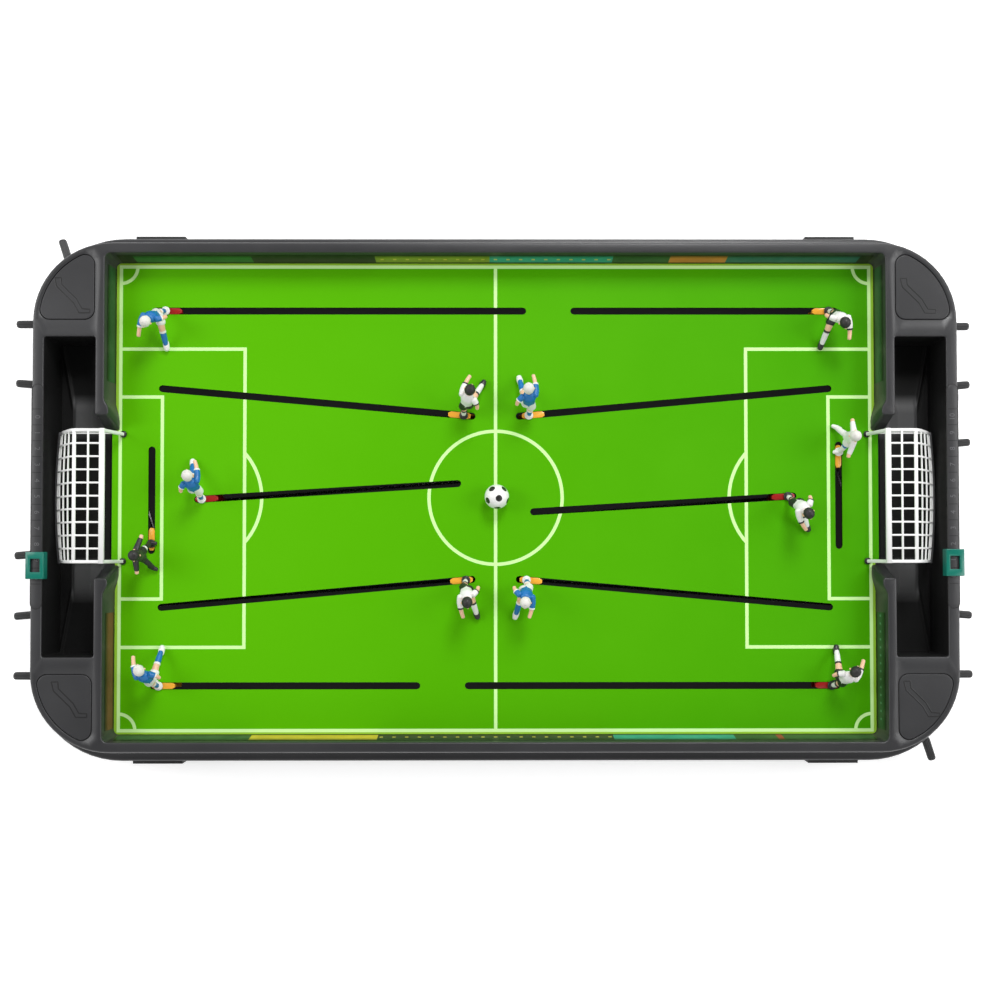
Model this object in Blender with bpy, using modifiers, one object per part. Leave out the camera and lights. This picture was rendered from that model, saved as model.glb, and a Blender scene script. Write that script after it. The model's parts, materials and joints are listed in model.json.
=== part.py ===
"""Rod-and-slot football game: casing, board, goals, twelve driven figures, markers, feet and ball.

Metres, +X along the long side, +Z up, origin on the table under the centre spot.
"""
import bpy
import bmesh
from math import atan2, cos, degrees, hypot, pi, radians, sin, tan
from mathutils import Matrix, Vector

MM = 0.001

# Driving dimensions, in millimetres. Heights are measured from the top of the pitch board.
PITCH_Z = 58.0             # top of the pitch board above the table
BOARD_HALF = (389.5, 241.5)
BOARD_T = 3.0
GAP = 0.3                  # clearance between any two pieces
WALL = 2.4
WELL_R = 6.0
RIM_Z = 30.0
LIP_Z = -13.0
SKIRT_Z = -50.0
POCKET_LEN = 51.5
POCKET_Y_SHARE = 0.6646    # pocket half width as a share of the board's
POCKET_Z = -20.0
MOUTH_Y = 66.0             # half width of the opening in the end wall
TONGUE = 3.7               # how far the board runs on into each goal
SLOT_W = 7.2
BLOCK_BACK = 7.5           # carriage block behind the peg
BLOCK_FRONT = 16.5         # carriage block on the operator's side of the peg
BLOCK_DEEP = 6.0
GOALIE_BLOCK_Z = -8.0      # underside of a goalkeeper block
ROD_R = 1.9
PIN_R = 1.45
GRIP_R = 4.2
GRIP_LEN = 24.0
ROD_Z = {"white": -35.5, "blue": -45.5, "goalie": -25.2}
GOAL_BAR_Z = 41.0
BALL_R = 12.4
MARKER_LEN = 27.0
BACK_TRAVEL = 262.0        # longest slide of the four backs
FOOT_LEN = 51.5

# Sizes that follow from them.
WELL_HALF_LOW = (BOARD_HALF[0] + GAP + 0.1, BOARD_HALF[1] + GAP + 0.1)
WELL_HALF_TOP = (WELL_HALF_LOW[0] + 2.1, WELL_HALF_LOW[1] + 3.1)
POCKET_X = (WELL_HALF_TOP[0] + 9.0, WELL_HALF_TOP[0] + 9.0 + POCKET_LEN)
POCKET_Y = BOARD_HALF[1] * POCKET_Y_SHARE
RIM_HALF = (POCKET_X[1] + 11.5, WELL_HALF_TOP[1] + 10.5)
RIM_R = 79.0
LIP_HALF = (RIM_HALF[0] + 17.0, RIM_HALF[1] + 16.0)
LIP_R = RIM_R + 16.0
GRIP_START = LIP_HALF[0] + 1.8
GOAL_FRONT = BOARD_HALF[0]
GOAL_FOOT = BOARD_HALF[0] - 8.0
GOAL_HALF_Y = MOUTH_Y - 2.0
BLOCK_W = SLOT_W - 0.8
FOOT_X = (RIM_HALF[0] - 139.5, RIM_HALF[0] - 139.5 + FOOT_LEN)
CROWN_REACH = 6.7          # sideways step of a wing's rod from its peg


def spread(x, y):
    """A point drawn on the board's standard size, moved to the same place on this board."""
    return (x * BOARD_HALF[0] / 389.5, y * BOARD_HALF[1] / 241.5)


# Slots as start and end of their centre lines, and the same list turned half round.
WING_Y = spread(0, 192.3)[1]
WING_LANE = WING_Y - CROWN_REACH
SLOTS_HALF = [
    (spread(-352.4, -57.7), spread(-352.4, 52.8)),
    (spread(-353.0, 192.3), spread(31.6, 192.3)),
    (spread(77.0, 192.3), spread(353.0, 192.3)),
    (spread(-345.8, 112.5), spread(-20.6, 83.5)),
    (spread(20.6, 83.5), spread(345.8, 112.5)),
    (spread(-309.0, -1.8), spread(-35.3, 14.7)),
]
SLOTS = SLOTS_HALF + [((-a[0], -a[1]), (-b[0], -b[1])) for a, b in SLOTS_HALF]


def player(x, y, slot, yaw, shoe, leave_y):
    """Peg on the board, slot number, heading of the head, shoe side and angle, and where the rod leaves."""
    side = 1 if slot in (1, 4, 5, 6, 8, 9) else -1
    leave = (LIP_HALF[0] * side, leave_y)
    if slot in (0, 6):
        leave = ((RIM_HALF[0] - 16.0) * side, -(RIM_HALF[1] - 7.0) * side)
    return dict(peg=spread(x, y), slot=slot, yaw=yaw, shoe=shoe, exit=leave)


PLAYERS = {
    "blue_left_wing": player(-339.0, 192.3, 1, -111.0, 24.0, WING_LANE),
    "blue_centre": player(-301.0, -1.3, 5, 98.7, 4.0, 59.5),
    "blue_right_wing": player(-344.0, -192.3, 8, 107.8, -24.0, -WING_LANE),
    "blue_left_back": player(34.2, 84.7, 4, 93.7, 11.0, 121.0),
    "blue_right_back": player(31.6, -84.5, 9, -96.2, -11.0, -121.0),
    "blue_goalie": player(352.4, 47.0, 6, 180.0, 0.0, 0.0),
    "white_left_wing": player(343.6, -192.3, 7, 60.0, 24.0, -WING_LANE),
    "white_centre": player(300.0, 1.3, 11, -64.0, 4.0, -57.5),
    "white_right_wing": player(342.8, 192.3, 2, -79.7, -24.0, WING_LANE),
    "white_left_back": player(-30.5, -84.4, 10, -83.5, 11.0, -121.0),
    "white_right_back": player(-32.7, 84.6, 3, 69.6, -11.0, 121.0),
    "white_goalie": player(-352.4, -47.0, 0, 0.0, 0.0, 0.0),
}

for old in list(bpy.data.objects):
    bpy.data.objects.remove(old)

scene = bpy.context.scene
scene.unit_settings.scale_length = 1.0
main = bpy.data.collections.new("tabletop_football")
helpers = bpy.data.collections.new("cutters")
scene.collection.children.link(main)
scene.collection.children.link(helpers)
helpers.hide_render = True


def material(name, colour, rough, metal=0.0):
    """A Principled material of one colour."""
    mat = bpy.data.materials.new(name)
    mat.use_nodes = True
    shader = mat.node_tree.nodes["Principled BSDF"]
    shader.inputs["Base Color"].default_value = (*colour, 1.0)
    shader.inputs["Roughness"].default_value = rough
    shader.inputs["Metallic"].default_value = metal
    mat.diffuse_color = (*colour, 1.0)
    return mat


CASING_MAT = material("casing", (0.045, 0.045, 0.048), 0.45)
PITCH_MAT = material("pitch", (0.10, 0.42, 0.01), 0.4)
GOAL_MAT = material("goal", (0.85, 0.85, 0.84), 0.4)
MARKER_MAT = material("marker", (0.01, 0.34, 0.22), 0.4)
FOOT_MAT = material("foot", (0.02, 0.02, 0.02), 0.7)
BALL_MAT = material("ball", (0.9, 0.9, 0.88), 0.3)
BLUE_MAT = material("blue_kit", (0.01, 0.14, 0.5), 0.4)
WHITE_MAT = material("white_kit", (0.8, 0.8, 0.78), 0.4)
RED_MAT = material("carriage_red", (0.3, 0.01, 0.01), 0.4)
ORANGE_MAT = material("carriage_orange", (0.9, 0.38, 0.03), 0.4)
STEEL_MAT = material("rod_steel", (0.6, 0.6, 0.62), 0.3, 1.0)
GRIP_MAT = material("grip", (0.02, 0.02, 0.02), 0.5)


def place(name, bm, mat, at=(0, 0, 0), yaw=0.0, smooth=False, helper=False):
    """Turns a bmesh in millimetres about its own origin into an object in metres."""
    bmesh.ops.remove_doubles(bm, verts=bm.verts, dist=0.0005)
    bmesh.ops.recalc_face_normals(bm, faces=bm.faces)
    bmesh.ops.scale(bm, vec=(MM, MM, MM), verts=bm.verts)
    mesh = bpy.data.meshes.new(name)
    bm.to_mesh(mesh)
    bm.free()
    if smooth:
        mesh.shade_smooth()
    if mat:
        mesh.materials.append(mat)
    obj = bpy.data.objects.new(name, mesh)
    obj.location = (at[0] * MM, at[1] * MM, (at[2] + PITCH_Z) * MM)
    obj.rotation_euler = (0, 0, radians(yaw))
    (helpers if helper else main).objects.link(obj)
    if helper:
        obj.hide_render = True
        obj.display_type = "WIRE"
    return obj


def boolean(obj, operation, other):
    """One EXACT Boolean with a helper object, whose own shells may cross."""
    mod = obj.modifiers.new(operation.lower() + "_" + other.name, "BOOLEAN")
    mod.operation = operation
    mod.solver = "EXACT"
    mod.use_self = operation == "UNION"
    mod.object = other


def rounded_rect(half, radius, steps=8):
    """Corner-rounded rectangle outline, counter-clockwise."""
    points = []
    for quarter in range(4):
        cx = (half[0] - radius) * (1 if quarter in (0, 3) else -1)
        cy = (half[1] - radius) * (1 if quarter in (0, 1) else -1)
        for step in range(steps + 1):
            a = (quarter + step / steps) * pi / 2
            points.append((cx + radius * cos(a), cy + radius * sin(a)))
    return points


def stack(bm, rings):
    """Closed body through a list of (outline, z) with equal numbers of points."""
    rows = [[bm.verts.new((x, y, z)) for x, y in outline] for outline, z in rings]
    count = len(rows[0])
    for low, high in zip(rows, rows[1:]):
        for i in range(count):
            j = (i + 1) % count
            bm.faces.new((low[i], low[j], high[j], high[i]))
    bm.faces.new(rows[0][::-1])
    bm.faces.new(rows[-1])
    return bm


def add_box(bm, low, high, turn=0.0):
    """Box between two corners, optionally turned about the local Z axis."""
    size = [b - a for a, b in zip(low, high)]
    mid = [(a + b) / 2 for a, b in zip(low, high)]
    matrix = Matrix.Rotation(turn, 4, "Z") @ Matrix.Translation(mid) @ Matrix.Diagonal((*size, 1))
    bmesh.ops.create_cube(bm, size=1, matrix=matrix)


def add_rod(bm, start, end, r0, r1, sides=5):
    """Closed tapered rod between two points."""
    a, b = Vector(start), Vector(end)
    along = b - a
    matrix = Matrix.Translation((a + b) / 2) @ along.to_track_quat("Z", "Y").to_matrix().to_4x4()
    bmesh.ops.create_cone(
        bm, cap_ends=True, segments=sides, radius1=r0, radius2=r1, depth=along.length, matrix=matrix
    )


def add_ball(bm, centre, radii, lean=0.0, sides=6, rows=5):
    """Closed ellipsoid, leaned forward about the local Y axis."""
    matrix = Matrix.Translation(centre) @ Matrix.Rotation(lean, 4, "Y") @ Matrix.Diagonal((*radii, 1))
    bmesh.ops.create_uvsphere(bm, u_segments=sides, v_segments=rows, radius=1, matrix=matrix)


def add_lathe(bm, profile, sides=8):
    """Closed body turned about the local Z axis from (radius, z) pairs that start and end on it."""
    verts = [bm.verts.new((r, 0, z)) for r, z in profile]
    edges = [bm.edges.new(pair) for pair in zip(verts, verts[1:])]
    bmesh.ops.spin(
        bm, geom=verts + edges, cent=(0, 0, 0), axis=(0, 0, 1), angle=2 * pi, steps=sides, use_merge=True
    )
    bmesh.ops.remove_doubles(bm, verts=bm.verts, dist=0.0005)


def shift(outline_half, grow):
    return (outline_half[0] + grow, outline_half[1] + grow)


def slot_outline(start, end, width, steps=5):
    """Round-ended slot outline between two end centres."""
    along = atan2(end[1] - start[1], end[0] - start[0])
    r = width / 2
    ends = [(start[0] + r * cos(along), start[1] + r * sin(along), along + pi / 2)]
    ends.append((end[0] - r * cos(along), end[1] - r * sin(along), along - pi / 2))
    points = []
    for cx, cy, first in ends:
        for step in range(steps + 1):
            a = first + pi * step / steps
            points.append((cx + r * cos(a), cy + r * sin(a)))
    return points


def rod_of(name):
    """Rod height, its direction towards the operator, side offset from the peg and length to the exit."""
    spec = PLAYERS[name]
    team = name.split("_")[0]
    goalie = name.endswith("goalie")
    z = ROD_Z["goalie" if goalie else team]
    px, py = spec["peg"]
    ex, ey = spec["exit"]
    wing = name.endswith("wing")
    offset = 0.0
    if wing:
        offset = (WING_Y - WING_LANE) * (1 if py > 0 else -1)
        py = ey
    length = hypot(ex - px, ey - py)
    turn = atan2(ey - py, ex - px)
    return z, turn, offset, length


# Casing: one moulded shell with a rim, a flared skirt, a well for the board and two end troughs.
def build_casing():
    bm = bmesh.new()
    stack(bm, [
        (rounded_rect(LIP_HALF, LIP_R), SKIRT_Z),
        (rounded_rect(LIP_HALF, LIP_R), LIP_Z - 4),
        (rounded_rect(shift(LIP_HALF, -2.5), LIP_R - 2.5), LIP_Z - 0.6),
        (rounded_rect(shift(RIM_HALF, 2.5), RIM_R + 2.5), LIP_Z),
        (rounded_rect(shift(RIM_HALF, 0.3), RIM_R + 0.3), RIM_Z - 3),
        (rounded_rect(shift(RIM_HALF, -2.2), RIM_R - 2.2), RIM_Z),
    ])
    casing = place("casing", bm, CASING_MAT)

    bm = bmesh.new()
    stack(bm, [
        (rounded_rect(shift(LIP_HALF, -WALL), LIP_R - WALL), SKIRT_Z - 10),
        (rounded_rect(shift(LIP_HALF, -WALL), LIP_R - WALL), LIP_Z - 5 - WALL),
        (rounded_rect(shift(RIM_HALF, -WALL), RIM_R - WALL), LIP_Z - WALL),
        (rounded_rect(shift(RIM_HALF, -WALL - 0.6), RIM_R - WALL), RIM_Z - 3),
    ])
    boolean(casing, "DIFFERENCE", place("casing_hollow", bm, None, helper=True))

    bm = bmesh.new()
    outline = rounded_rect(shift(WELL_HALF_TOP, WALL), WELL_R + WALL)
    stack(bm, [(outline, -9), (outline, RIM_Z - 1)])
    for side in (-1, 1):
        x0, x1 = sorted((side * (POCKET_X[0] - WALL), side * (POCKET_X[1] + WALL)))
        add_box(bm, (x0, -POCKET_Y - WALL, POCKET_Z - 1.8), (x1, POCKET_Y + WALL, RIM_Z - 1.4))
        x0, x1 = sorted((side * (BOARD_HALF[0] - 1.4), side * (POCKET_X[1] + WALL - 0.4)))
        add_box(bm, (x0, -MOUTH_Y - 8.3, POCKET_Z - 1.7), (x1, MOUTH_Y + 8.3, RIM_Z - 1.8))
    boolean(casing, "UNION", place("casing_inner_walls", bm, None, helper=True))

    bm = bmesh.new()
    stack(bm, [
        (rounded_rect(WELL_HALF_LOW, WELL_R), -BOARD_T - GAP),
        (rounded_rect(WELL_HALF_TOP, WELL_R), RIM_Z),
        (rounded_rect(WELL_HALF_TOP, WELL_R), RIM_Z + 5),
    ])
    boolean(casing, "DIFFERENCE", place("casing_well", bm, None, helper=True))

    bm = bmesh.new()
    outline = rounded_rect(shift(BOARD_HALF, -6), 3.0)
    stack(bm, [(outline, -14), (outline, -BOARD_T)])
    boolean(casing, "DIFFERENCE", place("casing_board_opening", bm, None, helper=True))

    for side, tag in ((-1, "left"), (1, "right")):
        bm = bmesh.new()
        x0, x1 = sorted((side * POCKET_X[0], side * POCKET_X[1]))
        add_box(bm, (x0, -POCKET_Y, POCKET_Z), (x1, POCKET_Y, RIM_Z + 5))
        boolean(casing, "DIFFERENCE", place("pocket_cut_" + tag, bm, None, helper=True))
        bm = bmesh.new()
        x0, x1 = sorted((side * (BOARD_HALF[0] + TONGUE + GAP + 0.1), side * (POCKET_X[0] + 4)))
        add_box(bm, (x0, -MOUTH_Y, POCKET_Z + 0.02), (x1, MOUTH_Y, RIM_Z + 5))
        boolean(casing, "DIFFERENCE", place("drop_cut_" + tag, bm, None, helper=True))
        bm = bmesh.new()
        x0, x1 = sorted((side * (BOARD_HALF[0] - 2), side * (BOARD_HALF[0] + TONGUE + 1.0)))
        add_box(bm, (x0, -MOUTH_Y, -BOARD_T - GAP), (x1, MOUTH_Y, RIM_Z + 6))
        boolean(casing, "DIFFERENCE", place("mouth_cut_" + tag, bm, None, helper=True))

    bm = bmesh.new()
    for sx in (-1, 1):
        for sy in (-1, 1):
            back = POCKET_X[0] - 0.6
            foot = BOARD_HALF[0] - 4.3
            low = [(back, 67.7), (foot, 67.7), (foot, 79), (foot + 3.8, 97), (back, 97)]
            top = [(back, 74), (back - 9.4, 74), (back - 11.9, 82), (back - 9.9, 97.5), (back, 97.5)]
            rings = []
            for outline, z in ((low, GAP), (top, RIM_Z - 0.7)):
                points = [(sx * x, sy * y) for x, y in outline]
                rings.append((points, z))
            stack(bm, rings)
    boolean(casing, "UNION", place("mouth_flares", bm, None, helper=True))

    bm = bmesh.new()
    for name, spec in PLAYERS.items():
        z, turn, _, length = rod_of(name)
        ex, ey = spec["exit"]
        goalie = name.endswith("goalie")
        sway = 0.0 if goalie or name.endswith("wing") else drift_of(name)
        drift = sway / 2
        slack = 3.6 if goalie else abs(sway) / 2 + 2 * GAP
        side = Matrix.Rotation(turn, 4, "Z")
        centre = Matrix.Translation((ex, ey + drift, z))
        lie = Matrix.Rotation(pi / 2, 4, "Y")
        stretch = Matrix.Diagonal((1, (ROD_R + 0.6 + slack) / (ROD_R + 0.6), 1, 1))
        bmesh.ops.create_cone(
            bm, cap_ends=True, segments=16, radius1=ROD_R + 0.6, radius2=ROD_R + 0.6, depth=30,
            matrix=centre @ side @ stretch @ lie,
        )
    boolean(casing, "DIFFERENCE", place("rod_holes", bm, None, helper=True))

    bm = bmesh.new()
    for sy in (-1, 1):
        y0, y1 = sorted((sy * (LIP_HALF[1] - 4.6), sy * (LIP_HALF[1] + 5)))
        add_box(bm, (-10.5, y0, SKIRT_Z - 5), (10.5, y1, LIP_Z + 5))
    boolean(casing, "DIFFERENCE", place("skirt_notches", bm, None, helper=True))


def slot_angle(name):
    """Direction in which the carriage slides out, towards the operator."""
    spec = PLAYERS[name]
    start, end = SLOTS[spec["slot"]]
    angle = atan2(end[1] - start[1], end[0] - start[0])
    towards = (spec["exit"][0] - spec["peg"][0], spec["exit"][1] - spec["peg"][1])
    if cos(angle) * towards[0] + sin(angle) * towards[1] < 0:
        angle += pi
    return angle


def travel_of(name):
    """Distance that the carriage slides before the block or another figure stops it."""
    spec = PLAYERS[name]
    start, end = SLOTS[spec["slot"]]
    angle = slot_angle(name)
    reach = max(
        (p[0] - spec["peg"][0]) * cos(angle) + (p[1] - spec["peg"][1]) * sin(angle) for p in (start, end)
    )
    free = reach - BLOCK_FRONT - 1.5
    return min(free, BACK_TRAVEL) if name.endswith("back") else free


def drift_of(name):
    """Sideways movement of the rod at its hole over the whole travel."""
    _, turn, _, _ = rod_of(name)
    angle = slot_angle(name)
    move = travel_of(name)
    dx, dy = move * cos(angle), move * sin(angle)
    return dy - dx * tan(turn)


# Pitch board with its slots.
def build_board():
    bm = bmesh.new()
    outline = rounded_rect(BOARD_HALF, WELL_R - 1)
    stack(bm, [(outline, -BOARD_T), (outline, 0)])
    board = place("pitch_board", bm, PITCH_MAT)
    bm = bmesh.new()
    for side in (-1, 1):
        x0, x1 = sorted((side * (BOARD_HALF[0] - 5), side * (BOARD_HALF[0] + TONGUE)))
        add_box(bm, (x0, -MOUTH_Y + 0.5, -BOARD_T), (x1, MOUTH_Y - 0.5, 0))
    boolean(board, "UNION", place("goal_tongues", bm, None, helper=True))
    bm = bmesh.new()
    for start, end in SLOTS:
        outline = slot_outline(start, end, SLOT_W)
        stack(bm, [(outline, -BOARD_T - 2), (outline, 2)])
    boolean(board, "DIFFERENCE", place("slots", bm, None, helper=True))


# Goals: a wire grid bent over the roof and down the back, with posts and a bar in front.
def build_goal(side, tag):
    bm = bmesh.new()
    profile = [
        (0, GOAL_BAR_Z), (13.7, GOAL_BAR_Z + 0.6), (27.5, GOAL_BAR_Z), (36.5, 33.0),
        (44.5, 23.0), (52.5, 12.0), (59.5, 0.0), (58.5, POCKET_Z + 1.6),
    ]
    rows = []
    for k in range(11):
        y = GOAL_HALF_Y * (k / 5 - 1)
        rows.append([bm.verts.new((side * (GOAL_FRONT + x), side * y, z)) for x, z in profile])
    for a, b in zip(rows, rows[1:]):
        for i in range(len(profile) - 1):
            bm.faces.new((a[i], a[i + 1], b[i + 1], b[i]))
    goal = place("goal_" + tag, bm, GOAL_MAT)
    wire = goal.modifiers.new("net", "WIREFRAME")
    wire.thickness = 1.7 * MM
    wire.use_even_offset = False
    wire.use_boundary = True
    bm = bmesh.new()
    for sy in (-1, 1):
        y = sy * GOAL_HALF_Y
        add_rod(bm, (side * GOAL_FOOT, y, 1.5), (side * GOAL_FRONT, y, GOAL_BAR_Z), 1.9, 1.9)
        add_rod(bm, (side * GOAL_FOOT, y, GAP), (side * GOAL_FOOT, y, 2.2), 3.0, 2.6, 12)
    bar_end = Vector((0, GOAL_HALF_Y + 1.8, 0))
    bar = Vector((side * GOAL_FRONT, 0, GOAL_BAR_Z))
    add_rod(bm, bar - bar_end, bar + bar_end, 2.1, 2.1)
    foot_x = sorted((side * (GOAL_FRONT + 54.5), side * (GOAL_FRONT + 61.0)))
    add_box(bm, (foot_x[0], -GOAL_HALF_Y - 2, POCKET_Z + GAP), (foot_x[1], GOAL_HALF_Y + 2, POCKET_Z + 2.0))
    boolean(goal, "UNION", place("goal_frame_" + tag, bm, None, helper=True))


# Figures: each turns on a pin through its carriage, with a plain crown disc at the bottom of the pin.
def figure_limbs(name):
    """Shells of the body, leaning from the peg towards the head at local +X."""
    spec = PLAYERS[name]
    bm = bmesh.new()
    if name.endswith("goalie"):
        add_rod(bm, (0, 0, 1.2), (-5.0, -9.0, 19.0), 3.0, 3.6)
        add_rod(bm, (-5.0, -13.5, 19.0), (3.6, -25.0, 3.4), 3.6, 2.6)
        add_ball(bm, (4.2, -24.4, 3.6), (3.8, 2.6, 2.2))
        add_ball(bm, (-5.0, -11.6, 26.0), (6.0, 7.2, 11.5))
        add_rod(bm, (-4.6, -6.0, 33.5), (-1.0, 6.6, 31.0), 2.6, 2.2)
        add_rod(bm, (-5.0, -17.5, 33.5), (-5.2, -26.4, 30.0), 2.6, 2.2)
        add_rod(bm, (-4.8, -11.8, 34.0), (-4.4, -12.0, 41.0), 2.4, 2.2)
        add_ball(bm, (-4.4, -12.0, 43.0), (5.5, 5.3, 6.0))
        return bm
    s = 1 if spec["shoe"] > 0 else -1
    a = radians(spec["shoe"])
    tip = (40.2 * cos(a), 40.2 * sin(a))
    add_rod(bm, (0, 0, 1.2), (8.6, -1.8 * s, 21.0), 3.0, 3.8)
    knee = (8.6 + 0.45 * (tip[0] - 8.6), 2.2 * s + 0.45 * (tip[1] - 2.2 * s), 15.5)
    ankle = (0.82 * tip[0], 0.82 * tip[1], 6.0)
    add_rod(bm, (8.0, 2.2 * s, 22.5), knee, 4.2, 3.2)
    add_rod(bm, knee, ankle, 3.2, 2.4)
    add_ball(bm, knee, (3.1, 3.1, 3.1))
    add_rod(bm, (0.78 * tip[0], 0.78 * tip[1], 4.8), (*tip, 3.2), 2.9, 1.7)
    add_ball(bm, (13.0, 0, 30.5), (6.0, 7.0, 11.2), lean=radians(22))
    add_rod(bm, (15.5, -5.5 * s, 36.5), (37.0, -5.8 * s, 30.0), 2.6, 1.9)
    add_rod(bm, (14.5, 5.5 * s, 36.5), (7.9, 12.0 * s, 30.0), 2.6, 2.0)
    add_rod(bm, (16.6, 0, 38.0), (20.0, 0, 43.0), 2.6, 2.2)
    add_ball(bm, (21.0, 0, 45.0), (5.6, 5.4, 6.2), lean=radians(15))
    return bm


def build_figure(name):
    spec = PLAYERS[name]
    z, _, offset, _ = rod_of(name)
    crown = 8.4 if offset else 5.0
    bm = bmesh.new()
    add_lathe(bm, [
        (0, 2.4), (4.3, 2.4), (4.5, 0.8), (PIN_R, 0.8), (PIN_R, z + 5.2), (crown, z + 5.2),
        (crown - 0.9, z + 3.8), (0, z + 3.8),
    ])
    mat = BLUE_MAT if name.startswith("blue") else WHITE_MAT
    figure = place(name + "_figure", bm, mat, at=(*spec["peg"], 0), yaw=spec["yaw"])
    shells = figure_limbs(name)
    limbs = place(name + "_limbs", shells, None, at=(*spec["peg"], 0), yaw=spec["yaw"], helper=True)
    boolean(figure, "UNION", limbs)


# Carriages: a block in the slot, a stem, and a bracket whose two lugs hold the rod.
def bracket(bm, z, offset, turn, top):
    """Stem, plate and lugs. The rod lies along local +X, turned by the given angle."""
    width = (-5.6 - max(offset, 0), 5.6 + max(-offset, 0))
    if offset:
        width = (-5.0 - max(offset, 0), 5.0 + max(-offset, 0))
    add_rod(bm, (0, 0, top), (0, 0, z + 5.8), 3.1, 3.1, 8)
    add_box(bm, (-10.5, width[0], z + 5.6), (12.5, width[1], z + 7.2), turn)
    for x0, x1 in ((-10.2, -8.3), (10.3, 12.2)):
        add_box(bm, (x0, -offset - 3.4, z - 3.4), (x1, -offset + 3.4, z + 6.4), turn)
    return bm


def bracket_bores(z, offset, turn):
    """Pin bore and rod bore."""
    bm = bmesh.new()
    add_rod(bm, (0, 0, z + 3), (0, 0, 4), PIN_R + GAP, PIN_R + GAP, 8)
    c, s = cos(turn), sin(turn)
    ends = [(-20 * c + offset * s, -20 * s - offset * c, z), (20 * c + offset * s, 20 * s - offset * c, z)]
    add_rod(bm, ends[0], ends[1], ROD_R + GAP + 0.15, ROD_R + GAP + 0.15, 8)
    return bm


def build_carriage(name):
    spec = PLAYERS[name]
    z, turn, offset, _ = rod_of(name)
    along = slot_angle(name)
    goalie = name.endswith("goalie")
    peg = (*spec["peg"], 0)
    mat = RED_MAT if name.endswith(("left_wing", "centre")) else ORANGE_MAT
    lean = 0.0 if goalie else turn - along
    heading = degrees(turn if goalie else along)
    local = offset * (1 if cos(along) > 0 else -1)
    bm = bmesh.new()
    outline = slot_outline((-BLOCK_BACK, 0), (BLOCK_FRONT, 0), BLOCK_W, 3)
    stack(bm, [(outline, GOALIE_BLOCK_Z if goalie else -BLOCK_DEEP), (outline, -2 * GAP)])
    holder = place(name + "_carriage", bm, mat, at=peg, yaw=degrees(along))
    if goalie:
        bm = bmesh.new()
        add_rod(bm, (0, 0, -12), (0, 0, 4), PIN_R + GAP, PIN_R + GAP, 8)
        boolean(holder, "DIFFERENCE", place(name + "_block_bore", bm, None, at=peg, helper=True))
        bm = bmesh.new()
        add_rod(bm, (0, 0, GOALIE_BLOCK_Z - GAP), (0, 0, z + 6.4), 4.4, 4.4, 8)
        holder = place(name + "_housing", bm, mat, at=peg, yaw=heading)
    shells = bracket(bmesh.new(), z, local, lean, GOALIE_BLOCK_Z - 1.5 if goalie else -3.5)
    boolean(holder, "UNION", place(name + "_bracket", shells, None, at=peg, yaw=heading, helper=True))
    bores = bracket_bores(z, local, lean)
    boolean(holder, "DIFFERENCE", place(name + "_bores", bores, None, at=peg, yaw=heading, helper=True))


# Rods, each with its plain pinion, and fluted grips.
def turned_along_x(bm, rings):
    """Closed body through rings of (x, radii), a first and last point on the axis added."""
    count = len(rings[0][1])
    rows = []
    for x, radii in rings:
        angles = [2 * pi * i / count for i in range(count)]
        rows.append([bm.verts.new((x, r * cos(a), r * sin(a))) for r, a in zip(radii, angles)])
    for low, high in zip(rows, rows[1:]):
        for i in range(count):
            j = (i + 1) % count
            bm.faces.new((low[i], low[j], high[j], high[i]))
    for row, x in ((rows[0], rings[0][0]), (rows[-1], rings[-1][0])):
        centre = bm.verts.new((x, 0, 0))
        for i in range(count):
            bm.faces.new((row[i], row[(i + 1) % count], centre))
    return bm


def build_rod(name):
    spec = PLAYERS[name]
    z, turn, offset, length = rod_of(name)
    px, py = spec["peg"]
    if offset:
        py = spec["exit"][1]
    grip_at = length + (GRIP_START - LIP_HALF[0])
    n = 8
    rings = [(-12.8, [ROD_R] * n), (2.9, [ROD_R] * n), (3.0, [2.6] * n)]
    rings += [(6.2, [3.2] * n), (6.3, [ROD_R] * n), (grip_at + 8.0, [ROD_R] * n)]
    place(name + "_rod", turned_along_x(bmesh.new(), rings), STEEL_MAT, at=(px, py, z), yaw=degrees(turn))
    ribs = 7
    star = [GRIP_R if i % 2 else GRIP_R - 0.6 for i in range(2 * ribs)]
    hole = [ROD_R + GAP] * (2 * ribs)
    blunt = [r - 0.8 for r in star]
    end = grip_at + GRIP_LEN
    rings = [(grip_at + 8.0 + GAP + 0.1, hole), (grip_at, hole), (grip_at, blunt)]
    rings += [(grip_at + 0.8, star), (end - 1.0, star), (end, blunt)]
    place(name + "_grip", turned_along_x(bmesh.new(), rings), GRIP_MAT, at=(px, py, z), yaw=degrees(turn))


# Score markers: saddles over the rim of each end.
def build_marker(side, tag, y):
    bm = bmesh.new()
    inner, outer = POCKET_X[1] - 0.4, RIM_HALF[0] + 0.9
    section = [
        (inner - 2.6, 23.0), (inner, 23.0), (inner, RIM_Z + 0.4), (outer, RIM_Z + 0.4), (outer, 22.0),
        (outer + 2.8, 22.0), (outer + 2.8, RIM_Z + 3.2), (inner - 2.6, RIM_Z + 3.2),
    ]
    half = MARKER_LEN / 2
    rows = [[bm.verts.new((side * x, yy, z)) for x, z in section] for yy in (-half, half)]
    for i in range(8):
        j = (i + 1) % 8
        bm.faces.new((rows[0][i], rows[0][j], rows[1][j], rows[1][i]))
    bm.faces.new(rows[0])
    bm.faces.new(rows[1])
    marker = place("score_marker_" + tag, bm, MARKER_MAT, at=(0, y, 0))
    bm = bmesh.new()
    x0, x1 = sorted((side * (inner + 1.4), side * (outer - 1.6)))
    add_box(bm, (x0, -6.6, RIM_Z - 2), (x1, 6.6, RIM_Z + 6))
    boolean(marker, "DIFFERENCE", place("window_" + tag, bm, None, at=(0, y, 0), helper=True))


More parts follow.
